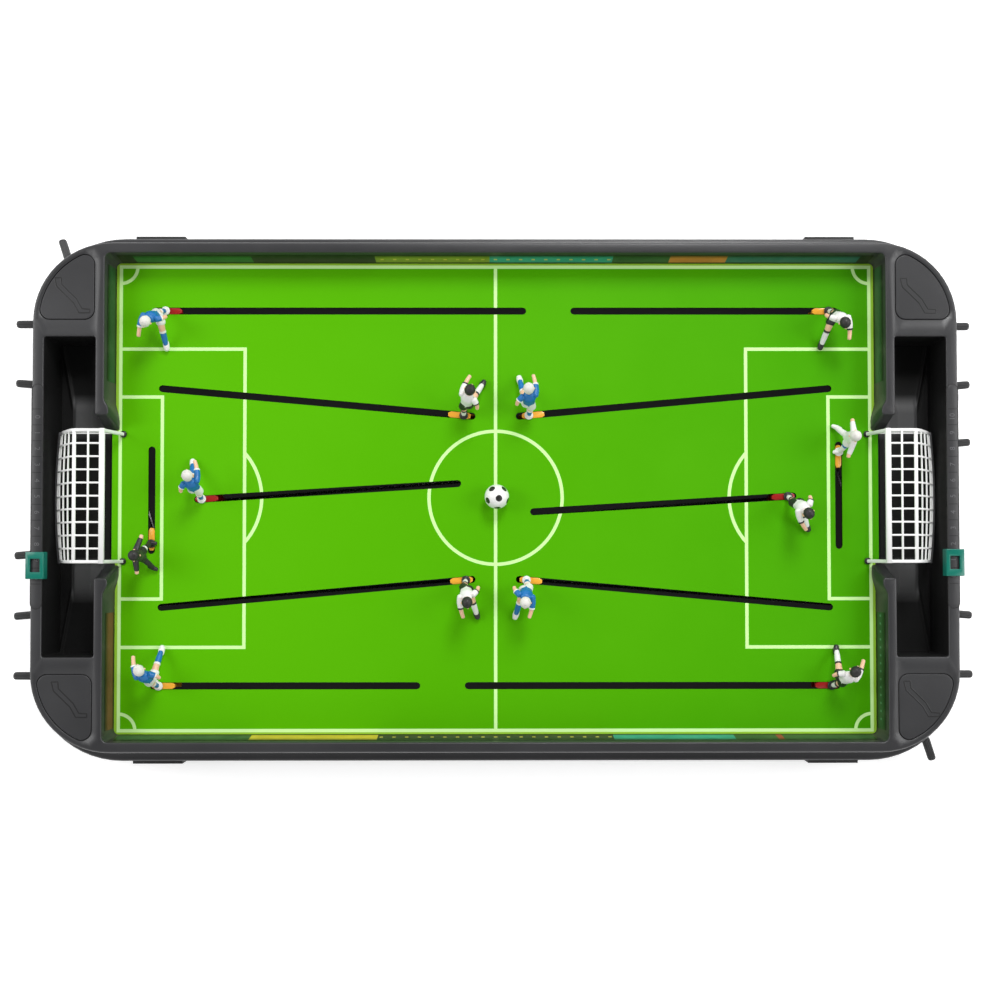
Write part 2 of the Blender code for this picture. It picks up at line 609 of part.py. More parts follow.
# Foot rails: two feet each, with a tab up the outside of the skirt.
def build_feet(sy, tag):
    bm = bmesh.new()
    y0, y1 = sorted((sy * (LIP_HALF[1] - 8), sy * (LIP_HALF[1] - 1)))
    add_box(bm, (-FOOT_X[1] + 4, y0, SKIRT_Z - 6), (FOOT_X[1] - 4, y1, SKIRT_Z - GAP))
    rail = place("foot_rail_" + tag, bm, FOOT_MAT)
    bm = bmesh.new()
    for sx in (-1, 1):
        x0, x1 = sorted((sx * FOOT_X[0], sx * FOOT_X[1]))
        y0, y1 = sorted((sy * (LIP_HALF[1] - 24), sy * (LIP_HALF[1] + 3.3)))
        add_box(bm, (x0, y0, -PITCH_Z), (x1, y1, SKIRT_Z - 0.4))
        y0, y1 = sorted((sy * (LIP_HALF[1] + GAP), sy * (LIP_HALF[1] + 3.3)))
        add_box(bm, (x0, y0, SKIRT_Z - 2), (x1, y1, LIP_Z - 6))
    boolean(rail, "UNION", place("feet_" + tag, bm, None, helper=True))


build_casing()
build_board()
build_goal(-1, "left")
build_goal(1, "right")
for each in PLAYERS:
    build_figure(each)
    build_carriage(each)
    build_rod(each)
build_marker(-1, "left", -69.0)
build_marker(1, "right", -66.5)
build_feet(1, "back")
build_feet(-1, "front")

sphere = bmesh.new()
bmesh.ops.create_uvsphere(sphere, u_segments=20, v_segments=12, radius=BALL_R)
place("ball", sphere, BALL_MAT, at=(1.2, 0.4, BALL_R + GAP), smooth=True)
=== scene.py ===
import json
import bmesh
import bpy
import numpy as np
from mathutils import Matrix, Vector


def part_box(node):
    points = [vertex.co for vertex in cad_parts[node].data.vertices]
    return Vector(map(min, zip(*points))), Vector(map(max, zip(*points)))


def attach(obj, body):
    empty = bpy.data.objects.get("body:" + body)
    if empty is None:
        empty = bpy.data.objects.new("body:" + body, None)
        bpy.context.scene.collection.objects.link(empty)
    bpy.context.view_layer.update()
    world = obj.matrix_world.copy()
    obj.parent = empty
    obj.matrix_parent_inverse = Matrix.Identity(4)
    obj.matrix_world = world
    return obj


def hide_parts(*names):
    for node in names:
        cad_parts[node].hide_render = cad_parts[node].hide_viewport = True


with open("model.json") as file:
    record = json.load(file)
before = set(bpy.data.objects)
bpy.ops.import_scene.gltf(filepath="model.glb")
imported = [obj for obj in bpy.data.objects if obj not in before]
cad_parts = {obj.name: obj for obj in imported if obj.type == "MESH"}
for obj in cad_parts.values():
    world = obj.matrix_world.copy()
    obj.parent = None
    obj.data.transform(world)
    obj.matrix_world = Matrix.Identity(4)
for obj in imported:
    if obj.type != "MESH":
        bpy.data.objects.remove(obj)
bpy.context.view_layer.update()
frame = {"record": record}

MM = 0.001

# ---------------------------------------------------------------------------
# Studio: the game stands on a pale floor and is looked at from straight above
# its middle. Three soft boxes light it, the main one beyond the far side.
# ---------------------------------------------------------------------------


def added(name, data):
    """New object of a mesh, light, camera or text, linked into the scene."""
    obj = bpy.data.objects.new(name, data)
    bpy.context.scene.collection.objects.link(obj)
    return obj


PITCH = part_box("pitch_board")[1].z       # top of the pitch board
case_low, case_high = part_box("casing")

EYE = (0.0003, -0.0586, PITCH + 1.162)   # a little towards the near side of the middle
TILT = {"Z": 0.00047, "Y": 0.00361, "X": -0.02277}
camera = added("camera", bpy.data.cameras.new("camera"))
camera.data.lens = 40.81
camera.data.shift_y = 0.029
camera.data.clip_end = 50
turn = Matrix.Identity(3)
for axis, angle in TILT.items():
    turn = turn @ Matrix.Rotation(angle, 3, axis)
camera.matrix_world = Matrix.Translation(EYE) @ turn.transposed().to_4x4()
bpy.context.scene.camera = camera
bpy.context.scene.view_settings.view_transform = "Standard"

world = bpy.context.scene.world or bpy.data.worlds.new("studio")
bpy.context.scene.world = world
world.use_nodes = True
sky, wires = world.node_tree.nodes, world.node_tree.links
height = sky.new("ShaderNodeSeparateXYZ")
wires.new(sky.new("ShaderNodeTexCoord").outputs["Generated"], height.inputs[0])
fade = sky.new("ShaderNodeMapRange")
fade.interpolation_type = "SMOOTHSTEP"
for key, value in {"From Min": 0.62, "From Max": 0.93, "To Min": 0.85, "To Max": 0.10}.items():
    fade.inputs[key].default_value = value
wires.new(height.outputs["Z"], fade.inputs["Value"])
wires.new(fade.outputs["Result"], sky["Background"].inputs["Strength"])
sky["Background"].inputs["Color"].default_value = (1, 1, 1, 1)


def soft_box(name, place, target, size, power):
    """A square area light that points from its place to its target."""
    lamp = bpy.data.lights.new(name, "AREA")
    lamp.size = size
    lamp.energy = power
    light = added(name, lamp)
    light.location = place
    light.rotation_euler = (Vector(target) - Vector(place)).to_track_quat("-Z", "Y").to_euler()


soft_box("key", (0.5, 1.7, 1.9), (0, 0, 0), 0.8, 34)
soft_box("fill", (1.9, 0.2, 1.5), (0, 0, 0), 1.0, 16)
soft_box("side", (-1.9, 0.4, 1.5), (0, 0, 0), 1.0, 15)

floor_mesh = bpy.data.meshes.new("floor")
FLOOR_HALF, FLOOR_DROP = 6.0, 0.0005
sheet = np.array([(-1, -1), (1, -1), (1, 1), (-1, 1)]) * FLOOR_HALF
sheet = np.column_stack([sheet, np.full(4, -FLOOR_DROP)])
wide, deep = case_high.x - 0.008, case_high.y - 0.008
cut = 0.055                              # the painted shade patch keeps inside the casing's round corners
# painted shade: a near-black patch of floor under the casing, seen through the slots, with a faint glow
# that sets how dark it reads
below = np.array([
    (wide, -deep + cut), (wide, deep - cut), (wide - cut, deep), (cut - wide, deep),
    (-wide, deep - cut), (-wide, cut - deep), (cut - wide, -deep), (wide - cut, -deep),
])
painted_shade_patch = np.column_stack([below, np.full(8, -0.8 * FLOOR_DROP)])
floor_mesh.from_pydata([*sheet.tolist(), *painted_shade_patch.tolist()], [], [range(4), range(4, 12)])
added("floor", floor_mesh)
pale = bpy.data.materials.new("pale_floor")
pale.use_nodes = True
paper = pale.node_tree.nodes["Principled BSDF"]
paper.inputs["Base Color"].default_value = (0.96, 0.96, 0.96, 1)
paper.inputs["Roughness"].default_value = 0.9
paper.inputs["Emission Color"].default_value = (1, 1, 1, 1)
paper.inputs["Emission Strength"].default_value = 0.46
floor_mesh.materials.append(pale)
# The patch's material is painted shade: near-black, glowing faintly.
shade = pale.copy()
dusk = shade.node_tree.nodes["Principled BSDF"]
dusk.inputs["Emission Strength"].default_value = 0.009
dusk.inputs["Base Color"].default_value = (0.02, 0.02, 0.02, 1)
floor_mesh.materials.append(shade)
floor_mesh.polygons[1].material_index = 1

# ---------------------------------------------------------------------------
# Casing: one injection moulding in satin black, with a flared skirt, a rim
# with rolled edges, a drafted well for the board and a trough at each end.
# ---------------------------------------------------------------------------


class Value:
    """A shader socket that takes part in arithmetic, each operator adding one Math node."""

    def __init__(self, tree, socket):
        self.tree, self.socket = tree, socket

    def math(self, operation, *others):
        """One Math node on this value and the others."""
        return self.tree.node("ShaderNodeMath", {"operation": operation}, [self, *others])

    def __add__(self, other):
        return self.math("ADD", other)

    def __mul__(self, other):
        return self.math("MULTIPLY", other)

    def __sub__(self, other):
        return self.math("SUBTRACT", other)

    def __rsub__(self, other):
        return self.tree.node("ShaderNodeMath", {"operation": "SUBTRACT"}, [other, self])

    def __truediv__(self, other):
        return self.math("DIVIDE", other)

    __radd__, __rmul__ = __add__, __mul__

    def __abs__(self):
        return self.math("ABSOLUTE")

    def below(self, limit, soft):
        """1 where the value is under the limit, with a soft edge of the given width."""
        return ((limit - self) / soft + 0.5).math("MINIMUM", 1.0).math("MAXIMUM", 0.0)

    def most(self, other):
        """The larger of the two values."""
        return self.math("MAXIMUM", other)

    def least(self, other):
        """The smaller of the two values."""
        return self.math("MINIMUM", other)


class Finish:
    """A material being built: its node tree, its Principled shader and one way to add nodes."""

    def __init__(self, name, colour, rough, metal=0.0, coat=0.0):
        self.material = bpy.data.materials.new(name)
        self.material.use_nodes = True
        self.nodes, self.links = self.material.node_tree.nodes, self.material.node_tree.links
        self.shader = self.nodes["Principled BSDF"]
        self.set("Base Color", (*colour, 1))
        self.set("Roughness", rough)
        self.set("Metallic", metal)
        self.set("Coat Weight", coat)
        self.set("Coat Roughness", 0.12)

    def set(self, socket, value):
        """Puts a number, colour or link on one of the shader's sockets."""
        self.plug(self.shader.inputs[socket], value)

    def plug(self, socket, value):
        """Links a Value to the socket, or stores a plain value in it."""
        if isinstance(value, Value):
            self.links.new(value.socket, socket)
        else:
            socket.default_value = value

    def node(self, kind, settings=None, inputs=(), output=0):
        """Adds a node: its settings first, then the values or links of its sockets."""
        made = self.nodes.new(kind)
        settings = dict(settings or {})
        stops = settings.pop("stops", None)
        for key, value in settings.items():
            setattr(made, key, value)
        if stops:
            ramp = made.color_ramp
            ramp.interpolation = "CONSTANT"
            while len(ramp.elements) < len(stops):
                ramp.elements.new(1.0)
            for element, (at, colour) in zip(ramp.elements, stops):
                element.position = at
                element.color = (*colour, 1)
        pairs = inputs.items() if isinstance(inputs, dict) else enumerate(inputs)
        for key, value in pairs:
            self.plug(made.inputs[key], value)
        return Value(self, made.outputs[output])

    def place(self):
        """Object coordinates as x, y and z."""
        where = self.node("ShaderNodeTexCoord", output=3)
        split = self.nodes.new("ShaderNodeSeparateXYZ")
        self.plug(split.inputs[0], where)
        return where, [Value(self, out) for out in split.outputs]

    def noise(self, scale, detail=2.0, where=None):
        """Noise of about scale features a metre, 0 to 1."""
        where = where or self.node("ShaderNodeTexCoord", output=3)
        inputs = {"Vector": where, "Scale": scale, "Detail": detail}
        return self.node("ShaderNodeTexNoise", {}, inputs)

    def mix(self, factor, a, b):
        """Colour mix of a and b."""
        return self.node("ShaderNodeMix", {"data_type": "RGBA"}, {0: factor, 6: a, 7: b}, output=2)

    def bump(self, height, distance):
        """Relief of the given depth in metres, from a height of 0 to 1."""
        self.set("Normal", self.node("ShaderNodeBump", {}, {"Height": height, "Distance": distance}))


def moulded(name, colour, rough, grain=0.00004, coat=0.0, vary=0.25):
    """Moulded plastic: fine spark-eroded grain, and a slow drift in colour and gloss from handling."""
    finish = Finish(name, colour, rough, coat=coat)
    slow = finish.noise(14.0, 3.0)
    fine = finish.noise(1800.0, 1.0)
    lighter = tuple(min(1.0, c * (1 + vary)) for c in colour)
    darker = tuple(c * (1 - vary * 0.6) for c in colour)
    finish.set("Base Color", finish.mix(slow, (*darker, 1), (*lighter, 1)))
    finish.set("Roughness", (slow - 0.5) * 0.16 + (fine - 0.5) * 0.08 + rough)
    finish.bump(fine, grain)
    return finish.material


def rounded_rect(half_x, half_y, radius, steps=14):
    """Outline of a rectangle with quarter-circle corners, counter-clockwise, as an (n, 2) array."""
    quarter = np.repeat(np.arange(4), steps + 1)
    angle = (quarter + np.tile(np.linspace(0, 1, steps + 1), 4)) * np.pi / 2
    sign_x = np.where((quarter == 0) | (quarter == 3), 1, -1)
    sign_y = np.where(quarter < 2, 1, -1)
    return np.stack([
        (half_x - radius) * sign_x + radius * np.cos(angle),
        (half_y - radius) * sign_y + radius * np.sin(angle),
    ], axis=1)


def surface(name, grid, wrap_v=False, materials=(), smooth=True, caps=False):
    """Object from a (u, v, 3) grid of points in millimetres above the pitch, faced with quads."""
    grid = np.asarray(grid, float) * MM + (0, 0, PITCH)
    nu, nv = grid.shape[:2]
    row = np.arange(nu - 1)[:, None] * nv
    j = np.arange(nv if wrap_v else nv - 1)[None, :]
    after = (j + 1) % nv
    faces = np.stack([row + j, row + nv + j, row + nv + after, row + after], axis=-1)
    ends = [list(range(nv))[::-1], list(range((nu - 1) * nv, nu * nv))] if caps else []
    mesh = bpy.data.meshes.new(name)
    mesh.from_pydata(grid.reshape(-1, 3).tolist(), [], faces.reshape(-1, 4).tolist() + ends)
    for material in materials:
        mesh.materials.append(material)
    if smooth:
        mesh.shade_smooth()
    return added(name, mesh)


def joined(name, objects, body, merge=None):
    """One object from several, ridden on a body. Points closer than merge become one."""
    bm = bmesh.new()
    materials = []
    for obj in objects:
        start = len(bm.faces)
        bm.from_mesh(obj.data)
        bm.faces.ensure_lookup_table()
        materials += [m for m in obj.data.materials if m not in materials]
        index = [materials.index(m) for m in obj.data.materials]
        for face in bm.faces[start:]:
            face.material_index = index[face.material_index]
        bpy.data.objects.remove(obj)
    if merge:
        bmesh.ops.remove_doubles(bm, verts=bm.verts, dist=merge)
        bmesh.ops.recalc_face_normals(bm, faces=bm.faces)
    mesh = bpy.data.meshes.new(name)
    bm.to_mesh(mesh)
    bm.free()
    for material in materials:
        mesh.materials.append(material)
    made = added(name, mesh)
    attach(made, body)
    return made


black_plastic = moulded("casing_black", (0.029, 0.029, 0.031), 0.38, vary=0.35)
# painted shade: a near-black copy of the casing plastic for the trough walls, the drop behind each
# goal, the lid bands, the rail's foot ring and ticks, and the goal feet
painted_shade_black = moulded("black_painted_shade", (0.007, 0.007, 0.007), 0.42)

RIM = case_high.z / MM - PITCH / MM      # rim above the pitch
LIP_X, LIP_Y, LIP_R = case_high.x / MM, case_high.y / MM, 95.0
RIM_X, RIM_Y, RIM_R = LIP_X - 17.0, LIP_Y - 16.0, 79.0
BASE = case_low.z / MM - PITCH / MM
WELL_X, WELL_Y, WELL_R = 392.0, 245.0, 6.0
DRAFT = 2.44                             # how far the well wall comes in at the pitch
POCKET_IN, POCKET_OUT, POCKET_Y, POCKET_FLOOR = 401.0, 452.5, 160.5, -20.0
STRIP_END = 81.5                         # where the end rim stops beside the goal
ROLL = 1.7                               # radius of the rolled edge

# Outer wall: rings of one rounded outline carried up a profile of (inset, height).
LEDGE_R, RIM_ROLL = 3.0, 2.6             # radii of the skirt's top edge and of the rim's outer edge
roll = np.linspace(0, np.pi / 2, 6)[1:]
profile = [(2.6, -20.0), (2.4, BASE), (0.5, BASE), (0.0, BASE + 0.5), (0.0, -18.0)]
profile += [(LEDGE_R * (1 - np.cos(a)), -17.0 + LEDGE_R * np.sin(a)) for a in roll]
profile += [(12.6, -13.6), (14.4, -12.2), (16.7, RIM - 3.2)]
profile += [(17.0 + RIM_ROLL * (1 - np.cos(a)), RIM - RIM_ROLL + RIM_ROLL * np.sin(a)) for a in roll]


def outer_ring(inset, height):
    """Casing outline moved in from the lip, its corner radius shrinking with it, at one height."""
    side = inset * 16 / 17
    outline = rounded_rect(LIP_X - inset, LIP_Y - side, LIP_R - side)
    return np.column_stack([outline, np.full(len(outline), height)])


rings = np.stack([outer_ring(inset, height) for inset, height in profile])
outer_wall = surface("outer_wall", rings, wrap_v=True, materials=[black_plastic])
deck_outline = rings[-1][:, :2]


def arc(cx, cy, radius, start, end, steps=5):
    """Points on a circle from one angle to another, in degrees."""
    a = np.radians(np.linspace(start, end, steps + 1))
    return np.column_stack([cx + radius * np.cos(a), cy + radius * np.sin(a)])


def quarter_opening(level):
    """One quarter of the opening's outline, from the middle of a long side to the middle of an end.

    The well corner is a quarter circle, the end wall swells towards the goal as a smooth step, and
    the trough behind it is a rectangle. Level 1 is the rim and level 0 the bottom of each wall.
    """
    inset = DRAFT * (1 - level)
    x, y = WELL_X - inset, WELL_Y - inset * 1.4
    corner = arc(x - WELL_R, y - WELL_R, WELL_R, 90, 0, 8)
    t = np.linspace(0, 1, 9)
    swell_end = 387.6 if level else 385.4
    swell_y = (STRIP_END + 2.8) if level else 71.0
    step = np.minimum(t * 1.3, 1.0)
    step = step * step * (3 - 2 * step)
    swell = np.column_stack([x + (swell_end - x) * step, 99 + (swell_y - 99) * t])
    nose_y = STRIP_END if level else 67.6
    nose = arc(swell_end + 2.8, nose_y + 2.8, 2.8, 180, 270, 4)
    back = arc(POCKET_IN - 2.6, nose_y + 2.6, 2.6, 270, 360, 4)
    trough = np.concatenate([
        arc(POCKET_IN + 2.4, POCKET_Y - 2.4, 2.4, 180, 90, 4),
        arc(POCKET_OUT - 2.4, POCKET_Y - 2.4, 2.4, 90, 0, 4),
        [[POCKET_OUT, 68.0]],
    ])
    return np.concatenate([[[0.0, y]], corner, swell[:-1], nose, back, trough])


top_quarter, low_quarter = quarter_opening(1), quarter_opening(0)
BEFORE_TROUGH = 1 + 9 + 8 + 5 + 2        # points of the middle, corner, swell, nose and half the back
from_trough = np.arange(len(top_quarter)) >= BEFORE_TROUGH
low_z = np.where(from_trough, POCKET_FLOOR, -2.9)


def all_round(quarter):
    """The quarter outline mirrored into a closed loop, counter-clockwise from the right-hand end."""
    back = quarter[::-1]
    return np.concatenate([back, (quarter * (-1, 1))[1:], back * (-1, -1), (quarter * (1, -1))[1:]])


top_loop, low_loop = all_round(top_quarter), all_round(low_quarter)
loop_z = np.concatenate([low_z[::-1], low_z[1:], low_z[::-1], low_z[1:]])
ahead = np.roll(top_loop, -1, 0) - np.roll(top_loop, 1, 0)
outward = np.column_stack([ahead[:, 1], -ahead[:, 0]])
outward /= np.maximum(np.linalg.norm(outward, axis=1, keepdims=True), 1e-9)
curl = np.linspace(0, np.pi / 2, 5)
wall_rows = [np.column_stack([low_loop, loop_z])]
for k in (0.33, 0.66):
    between = low_loop + (top_loop - low_loop) * k
    wall_rows.append(np.column_stack([between, loop_z + (RIM - ROLL - loop_z) * k]))
for a in curl:
    rolled = top_loop + outward * ROLL * (1 - np.cos(a))
    wall_rows.append(np.column_stack([rolled, np.full(len(rolled), RIM - ROLL + ROLL * np.sin(a))]))
wall_paints = [black_plastic, painted_shade_black]
well_wall = surface("well_wall", np.stack(wall_rows), wrap_v=True, materials=wall_paints)
# Faces down in the troughs get the near-black copy of the casing plastic: painted shade.
for face in well_wall.data.polygons:
    in_trough = abs(face.center.x) > POCKET_IN * MM and face.center.z < case_high.z - 2 * ROLL * MM
    face.material_index = int(in_trough)
opening_outline = wall_rows[-1][:, :2]

# Corner covers: flush lids with a groove round them, an arc outside and two straight sides inside.
COVER_X, COVER_Y, COVER_ARC, COVER_ROUND = 402.0, 177.5, 72.5, 10.0
ARC_X, ARC_Y = RIM_X - RIM_R, RIM_Y - RIM_R


def cover_outline(grow):
    """Three round corners and a long arc, grown outwards by the given amount."""
    r = COVER_ROUND + grow
    inner = COVER_ARC - COVER_ROUND
    ax, ay = COVER_X + COVER_ROUND, COVER_Y + COVER_ROUND
    by = ARC_Y + np.sqrt(inner ** 2 - (ax - ARC_X) ** 2)
    cx = ARC_X + np.sqrt(inner ** 2 - (ay - ARC_Y) ** 2)
    to_b = np.degrees(np.arctan2(by - ARC_Y, ax - ARC_X))
    to_c = np.degrees(np.arctan2(ay - ARC_Y, cx - ARC_X))
    return np.concatenate([
        arc(ax, ay, r, 270, 180, 6), arc(ax, by, r, 180, to_b, 8),
        arc(ARC_X, ARC_Y, COVER_ARC + grow, to_b, to_c, 14)[1:-1], arc(cx, ay, r, to_c, -90, 8),
    ])


def cover_rings(steps, sx, sy):
    """The cover outline at each (growth, height above the rim), mirrored into one corner."""
    rows = []
    for grow, height in steps:
        outline = cover_outline(grow) * (sx, sy)
        rows.append(np.column_stack([outline, np.full(len(outline), RIM + height)]))
    return np.stack(rows)


GROOVE_SIDE = ((-1.0, -2.2), (0.45, -2.2), (0.45, -0.35), (0.75, 0.0))
LID_SIDE = ((-0.35, -2.4), (-0.35, -0.5), (-0.55, -0.16), (-0.95, 0.0), (-1.3, 0.0))
deck_loops = [deck_outline, opening_outline]
groove_walls, lids = [], []
for sx in (-1, 1):
    for sy in (-1, 1):
        deck_loops.append(cover_outline(GROOVE_SIDE[-1][0]) * (sx, sy))
        rows = cover_rings(GROOVE_SIDE, sx, sy)
        groove_walls.append(surface("groove_wall", rows, wrap_v=True, materials=[black_plastic]))
        rows = cover_rings(LID_SIDE, sx, sy)
        centre = np.broadcast_to([(COVER_X + 24) * sx, (COVER_Y + 26) * sy, RIM], rows[:1].shape)
        rows = np.concatenate([rows, centre])
        lids.append(surface("lid", rows, wrap_v=True, materials=[black_plastic]))


def flat_fill(name, loops, height, material):
    """Flat face at one height, inside the first loop and outside the others."""
    bm = bmesh.new()
    for loop in loops:
        verts = [bm.verts.new((x * MM, y * MM, height * MM + PITCH)) for x, y in loop]
        for a, b in zip(verts, verts[1:] + verts[:1]):
            bm.edges.new((a, b))
    up = (0, 0, 1)
    bmesh.ops.triangle_fill(bm, use_beauty=True, use_dissolve=False, edges=bm.edges, normal=up)
    for face in bm.faces:
        if face.normal.z < 0:
            face.normal_flip()
    mesh = bpy.data.meshes.new(name)
    bm.to_mesh(mesh)
    bm.free()
    mesh.materials.append(material)
    return added(name, mesh)


SEAM = 2e-6                              # points this close are one, in metres
deck = flat_fill("deck", deck_loops, RIM, black_plastic)
shell = joined("casing_shell", [outer_wall, well_wall, deck, *groove_walls], "table", SEAM)
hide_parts("casing")


def smooth_but_flat(mesh, level=0.9995):
    """Smooth shading everywhere except on faces that lie level."""
    mesh.shade_smooth()
    normals = np.empty(len(mesh.polygons) * 3, np.float32)
    mesh.polygons.foreach_get("normal", normals)
    mesh.polygons.foreach_set("use_smooth", normals[2::3] < level)
    mesh.set_sharp_from_angle(angle=1.2)


smooth_but_flat(shell.data)

# ---------------------------------------------------------------------------
# Corner lids: four loose covers of the same plastic, clipped flush into the
# rim, each with the outline of a bent band as its only decoration, a near-black strip that is painted
# shade of an engraved groove.
# ---------------------------------------------------------------------------
BAND = np.array([
    (-442, 219.3), (-439.9, 210.3), (-423.2, 194.1), (-417.6, 184.1), (-406.6, 184.1), (-406.6, 187.6),
    (-414.5, 188.2), (-420.2, 198.0), (-435.0, 212.6), (-435.6, 219.3), (-442, 219.3),
])
LID_MIDDLE = (-424.5, 202.0)
BAND_POINTS = 121
for sx in (-1, 1):
    for sy in (-1, 1):
        line = BAND - np.multiply(LID_MIDDLE, (sx + 1, 1 - sy))
        steps = np.linspace(0, len(line) - 1, BAND_POINTS)
        x = np.interp(steps, np.arange(len(line)), line[:, 0])
        y = np.interp(steps, np.arange(len(line)), line[:, 1])
        ahead = np.column_stack([np.gradient(x), np.gradient(y)])
        ahead /= np.maximum(np.linalg.norm(ahead, axis=1, keepdims=True), 1e-6)
        side = np.column_stack([-ahead[:, 1], ahead[:, 0]])
        # The band is a low strip of near-black: painted shade of an engraved groove.
        across = np.array([-0.7, -0.45, 0.0, 0.45, 0.7])
        lift = np.array([-0.02, 0.06, 0.09, 0.06, -0.02])
        grid = np.stack([
            x[:, None] + side[:, :1] * across, y[:, None] + side[:, 1:] * across,
            np.broadcast_to(RIM + lift, (BAND_POINTS, 5)),
        ], -1)
        lids.append(surface("band", grid[:, ::-1], materials=[painted_shade_black]))
covers = joined("corner_lids", lids, "table", SEAM)
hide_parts("casing")
smooth_but_flat(covers.data)

# ---------------------------------------------------------------------------
# Trough floors: the floor that lost balls roll along at each end, moulded with
# the casing, with one crease that steers them and a drop behind the goal line.
# ---------------------------------------------------------------------------
CREASE_X, CREASE_TURN = 440.7, 98.0      # it runs level this far along, then out to the corner
RIDGE_H, HUMP_H = 2.4, 4.0
# The trough floor is far darker than the casing black: painted shade down in the trough.
trough = Finish("trough_floor", (0.007, 0.007, 0.007), 0.4)
where, (tx, ty, _) = trough.place()
polish = trough.noise(70.0, 3.0, where)
# painted light: a lighter band on the floor beside the goal, standing in for where the light catches
# it.
painted_light_band = abs(abs(ty) - 0.085).below(0.018, 0.012) * abs(tx).below(CREASE_X * MM, 0.0016)
trough.set("Base Color", trough.mix(painted_light_band, (0.006, 0.006, 0.006, 1), (0.105, 0.105, 0.107, 1)))
trough.set("Roughness", polish * 0.2 + 0.45)
trough.set("Specular IOR Level", 0.3)
trough.bump(polish, 0.0002)
trough_floors = []


def ramp(distance, length):
    """0 up to nothing, 1 past the length, and a straight rise between."""
    return np.clip(distance / length, 0, 1)


for s in (-1, 1):
    across = np.linspace(POCKET_IN - 0.3, POCKET_OUT + 0.3, 60)
    x, y = np.meshgrid(across, np.linspace(-POCKET_Y - 0.5, POCKET_Y + 0.5, 90), indexing="ij")
    off = np.abs(y)
    crease = CREASE_X + 0.182 * np.maximum(off - CREASE_TURN, 0)
    ridge = ramp(2.2 - np.abs(x - crease), 2.2) * ramp(off - 92, 8)
    hump = ramp(x - 412, 8) * ramp(crease - x, 4) * ramp(104 - off, 12) * ramp(off - 64, 6)
    z = POCKET_FLOOR + RIDGE_H * ridge + HUMP_H * hump
    grid = np.stack([s * x, y, z], -1)[::s]
    trough_floors.append(surface("floor_part", grid, materials=[trough.material]))
    # The drop behind the goal line is near-black: painted shade.
    x, y = np.meshgrid([393.6, 393.6, 401.5], np.linspace(-72, 72, 3), indexing="ij")
    z = np.broadcast_to(np.array([-0.4, POCKET_FLOOR, POCKET_FLOOR])[:, None], x.shape)
    grid = np.stack([s * x, y, z], -1)[::s]
    trough_floors.append(surface("drop_part", grid, materials=[painted_shade_black], smooth=False))
troughs = joined("trough_floors", trough_floors, "table")
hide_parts("casing")

# ---------------------------------------------------------------------------
# Wall panels: thin printed strips stuck inside the well, bands of flat colour
# with small marks and no wording, darkened at their top and foot with painted shade.
# ---------------------------------------------------------------------------


def panel_finish(name, axis, half, stops, marks=(0.345, 0.65), mark_colour=(0.75, 0.62, 0.08)):
    """Printed strip: colour bands along one axis, a row of short marks, and a satin film."""
    finish = Finish(name, (0.05, 0.2, 0.05), 0.45)
    finish.set("Specular IOR Level", 0.25)
    where, xyz = finish.place()
    along = (xyz[axis] / (half * MM) + 1) * 0.5
    bands = finish.node("ShaderNodeValToRGB", {"stops": stops}, [along])
    dash = (along * 61.0).math("FRACT") - 0.5
    high = (xyz[2] - PITCH) / MM
    streak = abs(dash).below(0.13, 0.02) * abs(high - 11).below(1.6, 0.3)
    in_marks = along.math("LESS_THAN", marks[1]) * along.math("GREATER_THAN", marks[0])
    drift = finish.noise(60.0, 3.0, where)
    # painted shade: the strip darkens above 14 mm and below 5 mm, under the rim and at the board's
    # edge.
    painted_shade_top_and_foot = ((high - 14.0) / 8.0).most((5.0 - high) / 3.0).most(0.0).least(1.0)
    bands = finish.mix(painted_shade_top_and_foot, bands, (0.004, 0.006, 0.004, 1))
    mixed = finish.mix(streak * in_marks * 0.8, bands, (*mark_colour, 1))
    finish.set("Base Color", finish.mix((drift - 0.3) * 0.5, mixed, (0.01, 0.02, 0.01, 1)))
    finish.set("Roughness", drift * 0.2 + 0.28)
    finish.bump(drift, 0.00005)
    return finish.material


LEAF, INK = (0.012, 0.075, 0.02), (0.005, 0.006, 0.006)
LIME, SEA = (0.24, 0.33, 0.02), (0.012, 0.34, 0.24)
far_stops = [
    (0, INK), (0.03, (0.012, 0.14, 0.02)), (0.18, INK), (0.34, LIME), (0.49, SEA), (0.65, LEAF),
    (0.725, (0.6, 0.2, 0.03)), (0.8, (0.01, 0.12, 0.1)), (0.97, INK),
]
near_stops = [
    (0, LEAF), (0.18, (0.65, 0.5, 0.02)), (0.345, INK), (0.65, SEA), (0.805, LEAF),
    (0.86, (0.35, 0.02, 0.02)), (0.868, LEAF),
]
left_stops = [(0, (0.15, 0.06, 0.02)), (0.31, LEAF), (0.62, (0.1, 0.35, 0.06)), (0.63, LEAF)]
right_stops = [(0, LEAF), (0.4, (0.02, 0.09, 0.03))]
print_far = panel_finish("panel_far", 0, WELL_X, far_stops)
print_near = panel_finish("panel_near", 0, WELL_X, near_stops)
print_left = panel_finish("panel_left", 1, WELL_Y, left_stops)
print_right = panel_finish("panel_right", 1, WELL_Y, right_stops, (0.03, 0.27), (0.10, 0.30, 0.16))
panels = []
rise = np.array([1.2, 22.5])             # foot and head of the strips
STUCK = 0.15                             # how far the strip stands off the wall
end_x = WELL_X - WELL_R - 3
for s, material in ((1, print_far), (-1, print_near)):
    x, z = np.meshgrid(np.linspace(-end_x, end_x, 60), rise, indexing="ij")
    y = WELL_Y - DRAFT * 1.4 * (1 - z / (RIM - ROLL)) - STUCK
    panels.append(surface("panel", np.stack([x, s * y, z], -1)[::s], materials=[material]))
